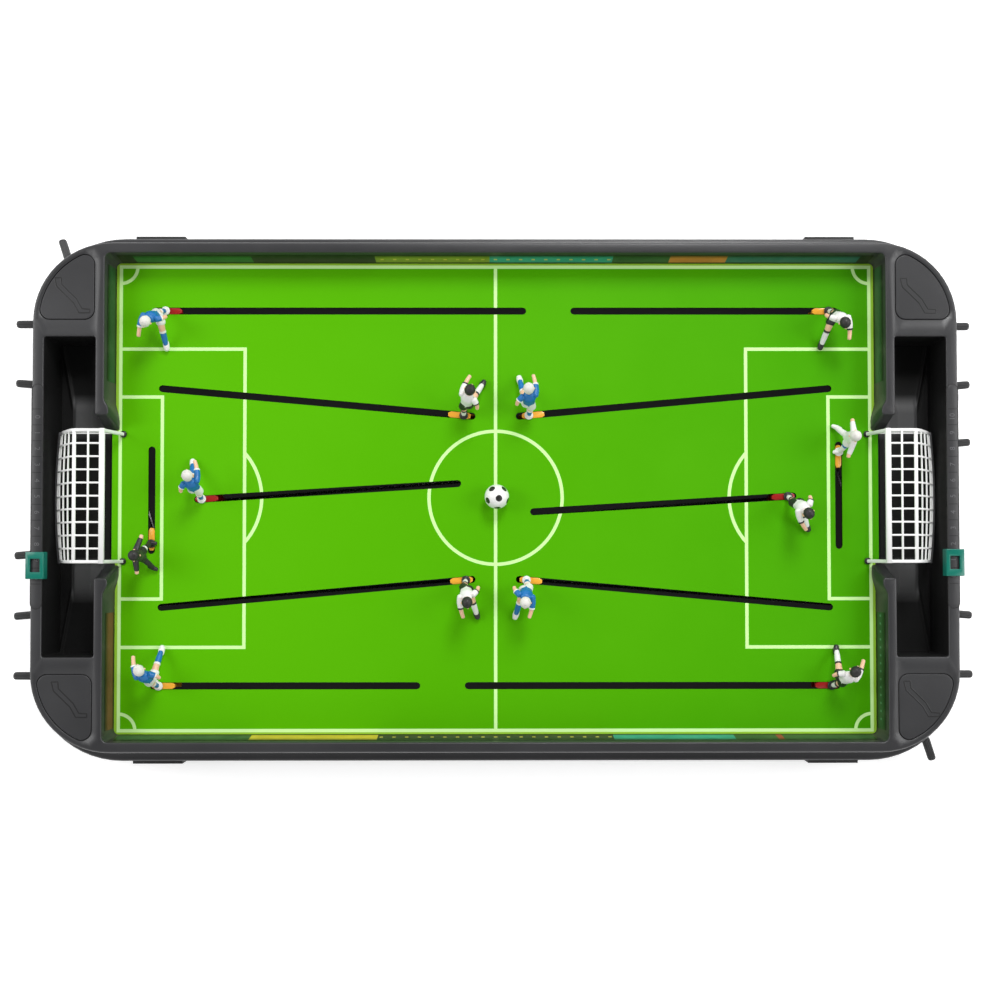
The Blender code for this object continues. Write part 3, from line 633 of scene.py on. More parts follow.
for s, material in ((-1, print_left), (1, print_right)):
    for t in (-1, 1):
        y, z = np.meshgrid(np.linspace(117, WELL_Y - WELL_R - 4, 20), rise, indexing="ij")
        x = WELL_X - DRAFT * (1 - z / (RIM - ROLL)) - STUCK
        grid = np.stack([s * x, t * y, z], -1)[::-s * t]
        panels.append(surface("panel", grid, materials=[material]))
wall_panels = joined("wall_panels", panels, "table")
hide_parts("casing")

# ---------------------------------------------------------------------------
# Score rails: a low bar on each end rim with embossed numbers from 0 to 10,
# moulded with the casing, that the saddle markers slide along.
# ---------------------------------------------------------------------------
RAIL_X, RAIL_W, RAIL_END = (POCKET_OUT + RIM_X) / 2 - 0.3, 10.4, 112.0
NUMBER_STEP, NUMBER_TALL = 15.9, 7.4
number_grey = moulded("number_grey", (0.10, 0.10, 0.105), 0.35)


def rail_rings(s, steps):
    """The rail's round-ended outline, shrunk to a share of its width, at each (share, height)."""
    turn_y = RAIL_END - RAIL_W / 2
    outline = np.concatenate([
        arc(s * RAIL_X, turn_y, RAIL_W / 2, 0, 180, 10),
        arc(s * RAIL_X, -turn_y, RAIL_W / 2, 180, 360, 10),
    ])
    along = np.clip(outline[:, 1], 5 - RAIL_END, RAIL_END - 5)
    middle = np.column_stack([np.full(len(outline), s * RAIL_X), along])
    return np.stack([
        np.column_stack([middle + (outline - middle) * share, np.full(len(outline), RIM + height)])
        for share, height in steps
    ])


rails = []
for s in (-1, 1):
    rings = rail_rings(s, ((1.0, -0.3), (1.0, 0.14), (0.93, 0.24), (0.0, 0.24)))
    rails.append(surface("rail", rings, wrap_v=True, materials=[black_plastic]))
    # A near-black ring round the rail's foot: painted shade where the rail meets the rim.
    rings = rail_rings(s, ((1.17, 0.03), (0.98, 0.03)))
    rails.append(surface("rail_foot_shade", rings, wrap_v=True, materials=[painted_shade_black]))
    for number in range(11):
        text = bpy.data.curves.new("number", "FONT")
        text.body = str(number)
        text.size = NUMBER_TALL * MM
        text.align_x, text.align_y = "CENTER", "CENTER"
        text.extrude = 0.07 * MM
        letter = added("number", text)
        bpy.context.view_layer.update()
        graph = bpy.context.evaluated_depsgraph_get()
        mesh = bpy.data.meshes.new_from_object(letter.evaluated_get(graph))
        spin = Matrix.Rotation(np.radians(90 * s), 4, "Z")
        at = (s * RAIL_X, (number - 5) * NUMBER_STEP * s, RIM + 0.26 + PITCH / MM)
        mesh.transform(Matrix.Translation(Vector(at) * MM) @ spin)
        mesh.materials.clear()
        mesh.materials.append(number_grey)
        bpy.data.objects.remove(letter)
        rails.append(added("number", mesh))
    # The ticks between the numbers are near-black strips: painted shade of grooves across the rail.
    for gap in range(12):
        x, y = np.meshgrid([-RAIL_W / 2 + 0.6, RAIL_W / 2 - 0.6], [-0.4, 0.4], indexing="ij")
        along = (5.5 - gap) * NUMBER_STEP
        tick = np.stack([x + s * RAIL_X, y + along, np.full((2, 2), RIM + 0.28)], -1)
        rails.append(surface("tick", tick, materials=[painted_shade_black], smooth=False))
score_rails = joined("score_rails", rails, "table")
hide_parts("casing")

# ---------------------------------------------------------------------------
# Pitch board: hardboard with a satin printed top, green with pale lines and a
# yellower margin. The sawn edges of its slots are near-black: painted shade inside the slots.
# ---------------------------------------------------------------------------
pitch = Finish("pitch_print", (0.09, 0.45, 0.004), 0.42)
pitch.set("Specular IOR Level", 0.06)
where, (px, py, pz) = pitch.place()
ax, ay = abs(px) / MM, abs(py) / MM
tx, ty = px / MM, py / MM


def ring_of(across, up, radius):
    """Distance from a circle's line."""
    return abs((across * across + up * up).math("SQRT") - radius)


FIELD_X, FIELD_Y, LINE = 385.0, 237.8, 1.7
MOUTH_Y = 66.2                           # half width of the goal mouth, where the margin stops
field = (ax - FIELD_X).most(ay - FIELD_Y)
marks = abs(field).least(ax.most(field))
marks = marks.least(ring_of(tx, ty, 68.3))
marks = marks.least(abs((257.4 - ax).most(ay - 153.0)).most(field))
marks = marks.least(abs((342.0 - ax).most(ay - 103.6)).most(field))
marks = marks.least(ring_of(ax - 308.7, ty, 68.9).most(ax - 257.4))
marks = marks.least(ring_of(ax - FIELD_X, ay - FIELD_Y, 16.9).most(field))
marks = marks.least((tx * tx + ty * ty).math("SQRT") - 2.0)
line_mask = marks.below(LINE, 0.25)
outside = field.math("GREATER_THAN", 0.0) * ay.math("GREATER_THAN", MOUTH_Y)
blotch = pitch.noise(9.0, 4.0, where)
print_dots = pitch.noise(900.0, 1.0, where)
grass = pitch.mix((tx + 390) / 780, (0.100, 0.462, 0.0008, 1), (0.055, 0.335, 0.0006, 1))
grass = pitch.mix((blotch - 0.35) * 0.35, grass, (0.12, 0.50, 0.004, 1))
grass = pitch.mix(outside, grass, (0.305, 0.578, 0.045, 1))
grass = pitch.mix(line_mask * 0.93, grass, (0.665, 1.0, 0.418, 1))
# painted shade: every face below the printed top, the slots' walls among them, is near-black.
top = pz.math("GREATER_THAN", PITCH - 0.0002)
pitch.set("Base Color", pitch.mix(top, (0.006, 0.007, 0.004, 1), grass))
pitch.set("Roughness", blotch * 0.16 + 0.36)
pitch.bump(print_dots, 0.00003)
board = bpy.data.objects["pitch_board"]
board.data.materials[0] = pitch.material

# ---------------------------------------------------------------------------
# Goals: white moulded frames. Leaning posts on round feet carry a bar, a flat
# grid for a roof and a curved grid of strands down to a foot in the trough.
# ---------------------------------------------------------------------------


def bar(path, wide, tall, material, across=(0, 0, 1), sides=12):
    """Closed bar along a path: a rounded box section, its height lying nearest to across."""
    path = np.asarray(path, float)
    ahead = np.gradient(path, axis=0)
    ahead /= np.linalg.norm(ahead, axis=1, keepdims=True)
    up = np.asarray(across, float) - ahead * (ahead @ np.asarray(across, float))[:, None]
    up /= np.linalg.norm(up, axis=1, keepdims=True)
    side = np.cross(ahead, up)
    angle = np.linspace(0, 2 * np.pi, sides, endpoint=False) + np.pi / sides
    c, s = np.cos(angle), np.sin(angle)
    a, b = np.sign(c) * np.abs(c) ** 0.6 * wide / 2, np.sign(s) * np.abs(s) ** 0.6 * tall / 2
    grid = path[:, None] + side[:, None] * a[None, :, None] + up[:, None] * b[None, :, None]
    ends = path[[0, -1], None] + (grid[[0, -1]] - path[[0, -1], None]) * 0.8
    ends += ahead[[0, -1], None] * np.array([-0.2, 0.2])[:, None, None]
    grid = np.concatenate([ends[:1], grid, ends[1:]])
    return surface("bar", grid[:, ::-1], wrap_v=True, materials=[material], caps=True)


def curve(points, count):
    """Smooth path through the points (Catmull-Rom), as a (count, n) array."""
    p = np.asarray(points, float)
    p = np.concatenate([[2 * p[0] - p[1]], p, [2 * p[-1] - p[-2]]])
    t = np.linspace(0, len(p) - 3 - 1e-6, count)
    i = t.astype(int)
    f = (t - i)[:, None]
    a, b, c, d = p[i], p[i + 1], p[i + 2], p[i + 3]
    square, cube = 2 * a - 5 * b + 4 * c - d, 3 * b - a - 3 * c + d
    return 0.5 * (2 * b + (c - a) * f + square * f ** 2 + cube * f ** 3)


goal_white = moulded("goal_white", (0.86, 0.86, 0.85), 0.36, grain=0.00002, coat=0.15, vary=0.04)
GOAL_FOOT, FRONT, MID, ROOF_END = 381.5, 389.5, 403.0, 417.0
BAR_Z, POST_POINTS, NET_POINTS = 41.0, 14, 37
net = curve([
    (FRONT, BAR_Z), (MID, BAR_Z + 0.4), (ROOF_END, BAR_Z),
    (425.6, 34), (434.2, 23), (442.4, 12), (448.8, 0),
], NET_POINTS)
lean = curve([(GOAL_FOOT, 0.4), (383, 8), (386, 22), (388.6, 36), (FRONT, BAR_Z)], POST_POINTS)
BULGE = 3.6                              # how much further back the net hangs at its middle
bulge = BULGE * ramp(net[:, 0] - ROOF_END, 32)
FOOT_TURNING = np.array([(2.6, 0.3), (3.4, 0.3), (3.4, 1.6), (3.0, 2.1), (1.6, 2.4), (0.02, 2.4)])


def net_at(s, y, half):
    """The net's profile at one distance along the goal, pulled in towards its ends."""
    back = net[:, 0] - bulge * (y / half) ** 2
    return np.column_stack([s * back, np.full(NET_POINTS, y), net[:, 1]])


for tag, s in (("left", -1), ("right", 1)):
    low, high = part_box("goal_" + tag)
    half = (high.y - low.y) / 2 / MM - 1.8
    parts = []
    for t in (-1, 1):
        post = np.column_stack([s * lean[:, 0], np.full(POST_POINTS, t * half), lean[:, 1]])
        parts.append(bar(post, 3.6, 3.4, goal_white, across=(1, 0, 0), sides=14))
        # The feet are near-black: painted shade of the hole each post stands in.
        angle = np.linspace(0, 2 * np.pi, 28, endpoint=False)
        r, z = FOOT_TURNING[:, :1], FOOT_TURNING[:, 1:]
        foot = np.stack([
            s * GOAL_FOOT + r * np.cos(angle), t * half + r * np.sin(angle), z + 0 * angle,
        ], -1)
        parts.append(surface("foot", foot, wrap_v=True, materials=[painted_shade_black], caps=True))
        edge = net_at(s, t * half, half)
        parts.append(bar(edge, 3.2, 2.2, goal_white, across=(0.2, 0, 1)))
        for level in (0.32, 0.62):
            k = int(level * (POST_POINTS - 1))
            near, far = post[k], edge[np.argmin(np.abs(net[:, 1] - lean[k, 1]))]
            parts.append(bar([near, (near + far) / 2, far], 1.5, 1.5, goal_white, sides=8))
    across_bars = ((FRONT, half + 1.6, 5.6, 3.8), (MID, half, 2.0, 2.0), (ROOF_END, half, 3.6, 2.0))
    for x_at, reach, wide, tall in across_bars:
        z_at = np.interp(x_at, net[:, 0], net[:, 1])
        rail = [(s * x_at, y, z_at) for y in (-reach, 0, reach)]
        parts.append(bar(rail, wide, tall, goal_white))
    for k in range(1, 10):
        strand = net_at(s, half * (k / 5 - 1), half)
        parts.append(bar(strand, 1.9, 1.5, goal_white, across=(0.2, 0, 1), sides=10))
    y = np.linspace(-half, half, 21)
    for k in (18, 24, 30, 36):
        back = net[k, 0] - bulge[k] * (y / half) ** 2
        strand = np.column_stack([s * back, y, np.full(21, net[k, 1])])
        parts.append(bar(strand, 1.7, 1.7, goal_white, across=(s * 0.9, 0, 0.4), sides=10))
    sill = np.column_stack([s * (450.6 - BULGE * (y / half) ** 2), y * 1.03, np.full(21, -1.6)])
    parts.append(bar(sill, 3.0, 1.6, number_grey))
    goal = joined("goal_frame_" + tag, parts, "table")
    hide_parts("goal_" + tag)

# ---------------------------------------------------------------------------
# Figures: painted plastic players. Each stands on one foot on a round disc,
# on a pin with a crown gear below the board, and swings the other leg.
# ---------------------------------------------------------------------------


def painted(name, colour, rough=0.38, vary=0.1):
    """Paint over moulded plastic: brush-thin colour, small missed specks and an uneven gloss."""
    finish = Finish(name, colour, rough, coat=0.1)
    where, _ = finish.place()
    slow, fine = finish.noise(220.0, 3.0, where), finish.noise(2400.0, 1.0, where)
    pale = tuple(min(1.0, c * (1 + vary) + 0.01) for c in colour)
    deep = tuple(c * (1 - vary) for c in colour)
    finish.set("Base Color", finish.mix(slow, (*deep, 1), (*pale, 1)))
    finish.set("Roughness", slow * 0.25 + rough - 0.1)
    finish.bump(slow * 0.7 + fine * 0.3, 0.00006)
    return finish.material


SKIN = painted("paint_skin", (0.82, 0.50, 0.32))
SHIRT_BLUE = painted("paint_blue", (0.0005, 0.15, 0.44), vary=0.2)
WHITE = painted("paint_white", (0.80, 0.80, 0.78), vary=0.04)
BLACK = painted("paint_black", (0.012, 0.012, 0.013), vary=0.5)
HAIR_WHITE = painted("hair_white", (0.72, 0.71, 0.66), rough=0.6)
HAIR_BLACK = painted("hair_black", (0.010, 0.009, 0.008), rough=0.6, vary=0.5)


def limb(points, radii, flat=1.0, sides=18, rows=5, blunt=0.75):
    """Round-ended limb: circles, or ellipses widened by flat, swept along a smooth path."""
    count = (len(points) - 1) * rows + 1
    path = curve(points, count)
    radius = curve(np.asarray(radii, float)[:, None], count)[:, 0]
    ahead = np.gradient(path, axis=0)
    ahead /= np.linalg.norm(ahead, axis=1, keepdims=True)
    a = np.linspace(np.pi / 2, 0, 6)[:-1]
    start = path[0] - ahead[0] * (radius[0] * blunt * np.sin(a))[:, None]
    end = path[-1] + ahead[-1] * (radius[-1] * blunt * np.sin(a[::-1]))[:, None]
    path = np.concatenate([start, path, end])
    close = np.maximum(np.cos(a), 0.01)
    radius = np.concatenate([radius[0] * close, radius, radius[-1] * close[::-1]])
    ahead = np.concatenate([np.repeat(ahead[:1], 5, 0), ahead, np.repeat(ahead[-1:], 5, 0)])
    across = np.where(np.abs(ahead[:, 1:2]) > 0.9, [[1.0, 0, 0]], [[0, 1.0, 0]])
    across = across - ahead * (ahead * across).sum(1, keepdims=True)
    across /= np.linalg.norm(across, axis=1, keepdims=True)
    up = np.cross(ahead, across)
    angle = np.linspace(0, 2 * np.pi, sides, endpoint=False)
    c, s = np.cos(angle)[None, :, None] * flat, np.sin(angle)[None, :, None]
    return path[:, None] + (across[:, None] * c + up[:, None] * s) * radius[:, None, None]


def turned(profile, sides=40, teeth=0, depth=0.0):
    """Surface of revolution about Z from (radius, z) pairs, its rim waved into teeth where asked."""
    angle = np.linspace(0, 2 * np.pi, sides, endpoint=False)
    r, z = np.array(profile)[:, :1], np.array(profile)[:, 1:]
    r = r * (1 + depth * np.sign(np.sin(angle * teeth)))
    z = np.broadcast_to(z, r.shape)
    return np.stack([r * np.cos(angle), r * np.sin(angle), z], -1)


def field_player(shoe, kit):
    """Grids of a striding player about its peg, heading along +X, its kicking leg on the +Y side."""
    a = np.radians(abs(shoe))
    tip = 40.4 * np.array([np.cos(a), np.sin(a)])
    hip = np.array([8.2, 2.6])

    def leg(share, height):
        """A point of the kicking leg, this share of the way from the hip to the toe."""
        return (*(hip + (tip - hip) * share), height)

    shirt, trim, shorts, sock, band, shoe_paint, hair = kit
    return [
        (limb([(0.6, -0.2, 2.2), (2.0, -0.6, 7.0), (4.2, -1.0, 12.0)], [2.2, 2.7, 3.0]), sock),
        (limb([(3.7, -0.9, 11.3), (4.3, -1.05, 12.6)], [3.25, 3.3], blunt=0.3), band),
        (limb([(4.2, -1.0, 12.0), (6.4, -1.5, 17.0), (8.2, -2.2, 21.0)], [2.9, 3.1, 3.5]), SKIN),
        (limb([(-2.0, 0.1, 2.0), (1.0, 0, 2.3), (5.2, -0.3, 2.0)], [2.0, 2.5, 2.0]), shoe_paint),
        (limb([(8.6, 2.8, 21.5), leg(0.30, 17.0), leg(0.45, 14.2)], [3.7, 3.5, 3.1]), SKIN),
        (limb([leg(0.50, 12.8), leg(0.66, 9.4), leg(0.84, 5.8)], [3.0, 2.9, 2.4]), sock),
        (limb([leg(0.46, 13.8), leg(0.50, 12.9)], [3.4, 3.4], blunt=0.3), band),
        (limb([leg(0.78, 4.6), leg(0.89, 4.1), leg(1.0, 3.2)], [2.7, 3.0, 2.4], flat=1.1), shoe_paint),
        (limb([(6.4, -2.6, 17.0), (8.6, -1.9, 21.0), (10.4, -0.8, 25.5)],
              [4.4, 4.6, 4.6], flat=1.05), shorts),
        (limb([leg(0.22, 17.6), (9.6, 2.6, 21.8), (10.6, 0.8, 25.5)],
              [4.6, 4.7, 4.6], flat=1.05), shorts),
        (limb([(9.8, 0, 23.6), (11.8, 0, 28.5), (14.0, 0, 33.5), (16.2, 0, 37.6)],
              [4.7, 4.9, 5.5, 4.3], flat=1.28), shirt),
        (limb([(15.2, -6.2, 36.6), (20.5, -7.4, 34.8), (26.5, -7.4, 32.6)], [3.3, 3.1, 2.8]), shirt),
        (limb([(26.0, -7.4, 32.8), (27.2, -7.4, 32.4)], [3.0, 3.0], blunt=0.25), trim),
        (limb([(27.0, -7.4, 32.4), (32.0, -6.8, 31.0), (35.8, -6.0, 30.2)], [2.2, 2.0, 1.9]), SKIN),
        (limb([(14.4, 6.4, 36.4), (12.0, 9.6, 34.2)], [3.3, 2.9]), shirt),
        (limb([(11.9, 9.8, 34.0), (11.4, 10.3, 33.6)], [3.1, 3.1], blunt=0.25), trim),
        (limb([(11.6, 10.2, 33.8), (9.8, 11.6, 31.6), (8.2, 12.2, 29.8)], [2.2, 2.0, 1.9]), SKIN),
        (limb([(16.4, 0, 37.8), (17.2, 0, 39.6)], [2.9, 2.9], flat=1.2, blunt=0.3), trim),
        (limb([(17.0, 0, 38.6), (19.4, 0, 42.4)], [2.5, 2.5]), SKIN),
        *head_of((21.2, 0, 44.3), hair),
    ]


def head_of(at, hair):
    """Egg-shaped head with nose and ears, and a cap of hair from the brow to the nape."""
    x, y, z = at
    around = np.linspace(0, 2 * np.pi, 24, endpoint=False)
    u, v = np.meshgrid(np.linspace(0.02, np.pi - 0.02, 14), around, indexing="ij")

    def egg(polar, wide, deep, tall):
        """Egg surface at the polar angle and v: half its width, depth and height along x, y and z."""
        return np.stack([
            wide * np.sin(polar) * np.cos(v), deep * np.sin(polar) * np.sin(v), tall * np.cos(polar),
        ], -1)

    brow = 1.52 + 0.62 * (0.5 - 0.5 * np.cos(v)) ** 2
    skull = egg(u, 5.3, 5.0, 5.9)
    cap = egg(np.minimum(u, brow), 5.8, 5.5, 6.4)
    locks = 1 + 0.02 * np.sin(v * 13)[..., None]
    cap = cap * np.where((u > brow)[..., None], 0.93, locks)
    nod = np.radians(24)
    c, n = np.cos(nod), np.sin(nod)
    turn_back = np.array([[c, 0, -n], [0, 1, 0], [n, 0, c]])
    return [
        (skull[::-1] @ turn_back + at, SKIN),
        (cap[::-1] @ turn_back + at, hair),
        (limb([(x + 4.6, y, z - 0.6), (x + 5.6, y, z - 1.6)], [0.9, 1.1], sides=10), SKIN),
        (limb([(x, y - 5.0, z - 0.5), (x, y - 5.5, z - 1.2)], [1.1, 1.0], sides=10), SKIN),
        (limb([(x, y + 5.0, z - 0.5), (x, y + 5.5, z - 1.2)], [1.1, 1.0], sides=10), SKIN),
    ]


def keeper(kit):
    """Grids of a goalkeeper leaning to one side with both arms out."""
    shirt, trim, shorts, sock, band, shoe_paint, hair = kit
    return [
        (limb([(0, 0, 2.2), (-1.6, -2.6, 9.0), (-3.0, -5.4, 14.0)], [2.2, 2.7, 3.0]), sock),
        (limb([(-2.8, -4.9, 13.2), (-3.2, -5.6, 14.6)], [3.3, 3.3], blunt=0.3), band),
        (limb([(-2.2, 0, 2.0), (1.0, 0.2, 2.3), (5.0, 0.4, 2.0)], [2.0, 2.5, 2.0]), shoe_paint),
        (limb([(-4.4, -14.4, 18.0), (-1.0, -18.6, 12.0), (2.6, -23.6, 5.6)], [3.4, 3.1, 2.5]), sock),
        (limb([(-0.9, -23.0, 4.0), (2.8, -24.6, 4.0), (6.6, -26.4, 3.2)], [2.2, 2.5, 1.9]), shoe_paint),
        (limb([(-3.6, -7.2, 16.0), (-5.0, -10.0, 20.0), (-5.2, -11.4, 24.0)],
              [4.4, 4.8, 4.7], flat=1.1), shorts),
        (limb([(-3.6, -14.6, 16.6), (-4.8, -13.4, 20.0), (-5.2, -12.2, 24.0)],
              [4.2, 4.8, 4.7], flat=1.1), shorts),
        (limb([(-5.2, -11.8, 23.0), (-5.2, -12.0, 29.0), (-5.0, -12.0, 34.6)],
              [4.9, 5.2, 4.8], flat=1.35), shirt),
        (limb([(-4.9, -6.6, 34.4), (-3.2, -1.0, 33.0), (-1.6, 4.2, 31.4)], [3.2, 2.8, 2.5]), shirt),
        (limb([(-1.2, 5.0, 31.2), (-0.8, 7.4, 30.5)], [2.1, 2.0]), SKIN),
        (limb([(-5.1, -17.4, 34.4), (-5.2, -22.4, 32.2), (-5.3, -26.4, 30.4)], [3.2, 2.8, 2.5]), shirt),
        (limb([(-5.3, -27.2, 30.2), (-5.4, -29.4, 29.5)], [2.1, 2.0]), SKIN),
        (limb([(-4.9, -12.0, 35.0), (-4.5, -12.0, 39.6)], [2.6, 2.5]), SKIN),
        *head_of((-4.2, -12.0, 43.2), hair),
    ]


blue_kit = (SHIRT_BLUE, WHITE, WHITE, SHIRT_BLUE, WHITE, WHITE, HAIR_WHITE)
white_kit = (WHITE, BLACK, BLACK, WHITE, BLACK, BLACK, HAIR_BLACK)
black_keeper = (BLACK, WHITE, BLACK, BLACK, WHITE, BLACK, HAIR_BLACK)
white_keeper = (WHITE, SHIRT_BLUE, WHITE, WHITE, SHIRT_BLUE, WHITE, HAIR_WHITE)
STANCE = {
    "blue_left_wing": (-111.0, 24), "blue_centre": (98.7, 4), "blue_right_wing": (107.8, -24),
    "blue_left_back": (93.7, 11), "blue_right_back": (-96.2, -11), "blue_goalie": (180.0, 0),
    "white_left_wing": (60.0, 24), "white_centre": (-64.0, 4), "white_right_wing": (-79.7, -24),
    "white_left_back": (-83.5, 11), "white_right_back": (69.6, -11), "white_goalie": (0.0, 0),
}
CROWN_TEETH = 20
joints = {joint["name"]: joint for joint in frame["record"]["behaviour"]["joints"]}
for player, (yaw, shoe) in STANCE.items():
    peg = np.array(joints[player + "_figure_turn"]["pos_m"]) / MM
    rod_at = np.array(joints[player + "_rod_spin"]["pos_m"]) / MM - (0, 0, PITCH / MM)
    blue = player.startswith("blue")
    goalie = player.endswith("goalie")
    if goalie:
        kit = white_keeper if blue else black_keeper
        shells = keeper(kit)
    else:
        kit = blue_kit if blue else white_kit
        shells = field_player(shoe, kit)
    plain = kit[5]
    crown = 8.3 if player.endswith("wing") else 4.9
    z = rod_at[2]
    disc_and_pin = turned([
        (0.02, z + 5.0), (1.4, z + 5.1), (1.4, 0.75), (4.5, 0.8), (4.4, 1.9), (3.6, 2.4), (0.02, 2.4),
    ])
    crown_gear = turned([
        (0.02, z + 3.9), (crown * 0.9, z + 3.9), (crown * 0.97, z + 4.6), (crown * 0.9, z + 5.15),
        (0.02, z + 5.15),
    ], 80, CROWN_TEETH, 0.03)
    shells += [(disc_and_pin, plain), (crown_gear, plain)]
    a = np.radians(yaw)
    heading = np.array([[np.cos(a), np.sin(a), 0], [-np.sin(a), np.cos(a), 0], [0, 0, 1]])
    side = -1 if shoe < 0 else 1
    parts = []
    for grid, paint in shells:
        placed = (grid * (1, side, 1)) @ heading + (peg[0], peg[1], 0)
        parts.append(surface("part", placed[:, ::-side], wrap_v=True, materials=[paint], caps=True))
    slot = "blue_kit" if blue else "white_kit"
    figure = joined(player + "_player", parts, player + "_figure")
    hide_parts(player + "_figure")

# ---------------------------------------------------------------------------
# Carriages: glossy coloured blocks that slide in the slots, each with a
# bracket below the board that holds the pin and the end of the rod.
# ---------------------------------------------------------------------------


def softened(node, body, material, width, segments=2):
    """The CAD solid of a node with its edges rounded over."""
    bm = bmesh.new()
    bm.from_mesh(bpy.data.objects[node].data)
    bmesh.ops.remove_doubles(bm, verts=bm.verts, dist=2e-6)
    bmesh.ops.dissolve_limit(bm, angle_limit=0.02, verts=bm.verts, edges=bm.edges)
    mesh = bpy.data.meshes.new(node + "_round")
    bm.to_mesh(mesh)
    bm.free()
    mesh.materials.append(material)
    mesh.shade_smooth()
    made = added(node + "_round", mesh)
    bevel = made.modifiers.new("edges", "BEVEL")
    bevel.width = width * MM
    bevel.segments = segments
    bevel.limit_method = "ANGLE"
    bevel.angle_limit = 0.6
    bevel.harden_normals = True
    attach(made, body)
    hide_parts(node)
    return made


slider_red = moulded("slider_red", (0.36, 0.012, 0.01), 0.3, grain=0.00002, coat=0.25, vary=0.15)
slider_orange = moulded("slider_orange", (0.93, 0.42, 0.04), 0.3, grain=0.00002, coat=0.25, vary=0.1)
for player in STANCE:
    red = player.endswith(("left_wing", "centre"))
    paint, slot = (slider_red, "carriage_red") if red else (slider_orange, "carriage_orange")
    softened(player + "_carriage", player + "_carriage", paint, 0.25)
    if player.endswith("goalie"):
        softened(player + "_housing", player + "_housing", paint, 0.25)

# ---------------------------------------------------------------------------
# Rods and grips: drawn steel rods with a small pinion, each ending outside the
# casing in a fluted black grip with domed end.
# ---------------------------------------------------------------------------
steel = Finish("drawn_steel", (0.62, 0.62, 0.63), 0.28, metal=1.0)
where, _ = steel.place()
drawn = {"Vector": where, "Scale": 700.0, "Detail": 4.0, "Distortion": 0.4}
streaks = steel.node("ShaderNodeTexNoise", {}, drawn)
steel.set("Base Color", steel.mix(streaks, (0.42, 0.42, 0.43, 1), (0.74, 0.74, 0.75, 1)))
steel.set("Roughness", streaks * 0.25 + 0.16)
steel.bump(streaks, 0.00002)
grip_black = moulded("grip_black", (0.02, 0.02, 0.021), 0.38, grain=0.00005, vary=0.5)
FLUTES, FLUTE_DEPTH, GRIP_HALF = 14, 0.55, 11.9
# Each row is the place along the grip from its middle, the radius and the share of the flutes' depth.
GRIP_TURNING = np.array([
    (-GRIP_HALF, 2.3, 0), (0.02 - GRIP_HALF, 3.2, 0), (0.5 - GRIP_HALF, 3.9, 0.3),
    (1.1 - GRIP_HALF, 4.1, 0.7), (2.4 - GRIP_HALF, 4.2, 1), (GRIP_HALF - 3.2, 4.15, 1),
    (GRIP_HALF - 1.6, 3.95, 0.8), (GRIP_HALF - 0.6, 3.4, 0.4), (GRIP_HALF - 0.05, 2.2, 0),
    (GRIP_HALF, 0.02, 0),
])
angle = np.linspace(0, 2 * np.pi, FLUTES * 8, endpoint=False)
flute_wave = np.abs(np.sin(angle * FLUTES / 2)) - 1
for player in STANCE:
    bpy.data.objects[player + "_rod"].data.materials[0] = steel.material
    low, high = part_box(player + "_grip")
    spin = joints[player + "_rod_spin"]
    at, along = np.array(spin["pos_m"]) / MM - (0, 0, PITCH / MM), np.array(spin["axis"])
    flat = np.array([-along[1], along[0], 0])
    middle = (np.array([low.x + high.x, low.y + high.y]) / 2 / MM - at[:2]) @ along[:2]
    r = GRIP_TURNING[:, 1:2] + GRIP_TURNING[:, 2:] * FLUTE_DEPTH * flute_wave
    ring = flat * np.cos(angle)[:, None] + np.array([0, 0, 1]) * np.sin(angle)[:, None]
    grid = at + along * (middle + GRIP_TURNING[:, 0])[:, None, None] + ring * r[..., None]
    name = player + "_fluted_grip"
    grip = surface(name, grid[:, ::-1], wrap_v=True, materials=[grip_black], caps=True)
    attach(grip, player + "_rod")
    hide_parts(player + "_grip")

# ---------------------------------------------------------------------------
# Score markers: green clips that straddle the rim of each end, with a window.
# ---------------------------------------------------------------------------
marker_green = moulded("marker_green", (0.002, 0.16, 0.115), 0.34, grain=0.00003, coat=0.1, vary=0.12)
for tag in ("left", "right"):
    softened("score_marker_" + tag, "score_marker_" + tag, marker_green, 0.7, 3)

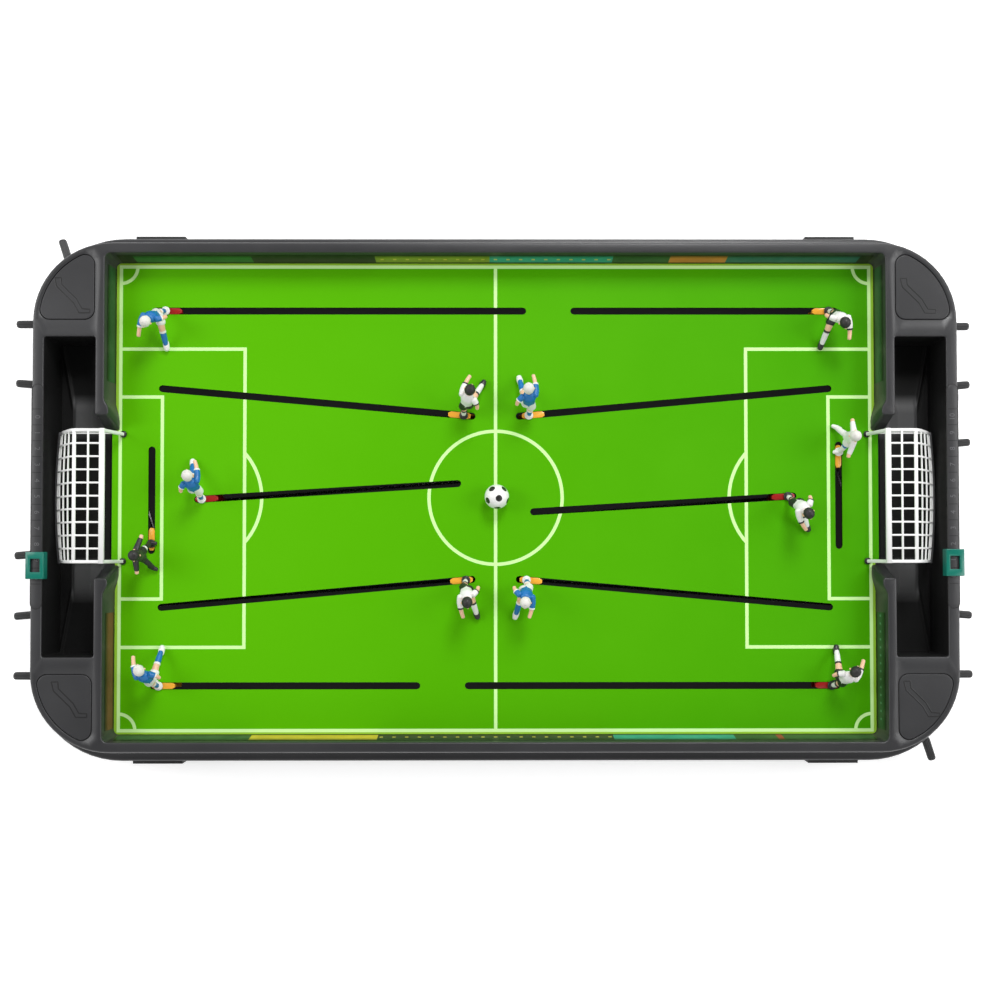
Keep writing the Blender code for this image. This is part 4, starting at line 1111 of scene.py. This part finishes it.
# ---------------------------------------------------------------------------
# Feet: black rubbery pads under the long sides with a tab up the skirt.
# ---------------------------------------------------------------------------
foot_rubber = moulded("foot_rubber", (0.022, 0.022, 0.022), 0.62, grain=0.0001, vary=0.4)
for tag in ("back", "front"):
    softened("foot_rail_" + tag, "table", foot_rubber, 0.6, 3)

# ---------------------------------------------------------------------------
# Ball: a hard white ball with twelve black spots, one at each corner of a
# regular twenty-faced solid.
# ---------------------------------------------------------------------------
ball_finish = Finish("ball_white", (0.9, 0.9, 0.88), 0.22, coat=0.3)
low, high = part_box("ball")
centre = (low + high) / 2
radius = (high.z - low.z) / 2
where, (bx, by, bz) = ball_finish.place()
ux, uy, uz = (bx - centre.x) / radius, (by - centre.y) / radius, (bz - centre.z) / radius
roll_y, roll_x = np.radians(10.9), np.radians(42.4)    # how the ball lies
ux, uz = ux * np.cos(roll_y) - uz * np.sin(roll_y), ux * np.sin(roll_y) + uz * np.cos(roll_y)
uy, uz = uy * np.cos(roll_x) + uz * np.sin(roll_x), uz * np.cos(roll_x) - uy * np.sin(roll_x)
golden = (1 + 5 ** 0.5) / 2
reach = (1 + golden ** 2) ** 0.5
nearest = None
for one, two, three in ((ux, uy, uz), (uy, uz, ux), (uz, ux, uy)):
    facing = (abs(one) + abs(two) * golden) / reach
    nearest = facing if nearest is None else nearest.most(facing)
spots = nearest.math("GREATER_THAN", 0.962)
scuff = ball_finish.noise(160.0, 4.0, where)
ball_paint = ball_finish.mix(scuff, (0.80, 0.80, 0.78, 1), (0.93, 0.93, 0.92, 1))
ball_finish.set("Base Color", ball_finish.mix(spots, ball_paint, (0.02, 0.02, 0.02, 1)))
ball_finish.set("Roughness", scuff * 0.2 + 0.16)
ball_finish.bump(scuff, 0.00003)
u, v = np.meshgrid(
    np.linspace(0.001, np.pi - 0.001, 33), np.linspace(0, 2 * np.pi, 64, endpoint=False), indexing="ij"
)
grid = np.stack([np.sin(u) * np.cos(v), np.sin(u) * np.sin(v), np.cos(u)], -1) * radius / MM
grid = grid + np.array([centre.x, centre.y, centre.z - PITCH]) / MM
ball = surface("match_ball", grid, wrap_v=True, materials=[ball_finish.material], caps=True)
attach(ball, "ball")
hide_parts("ball")
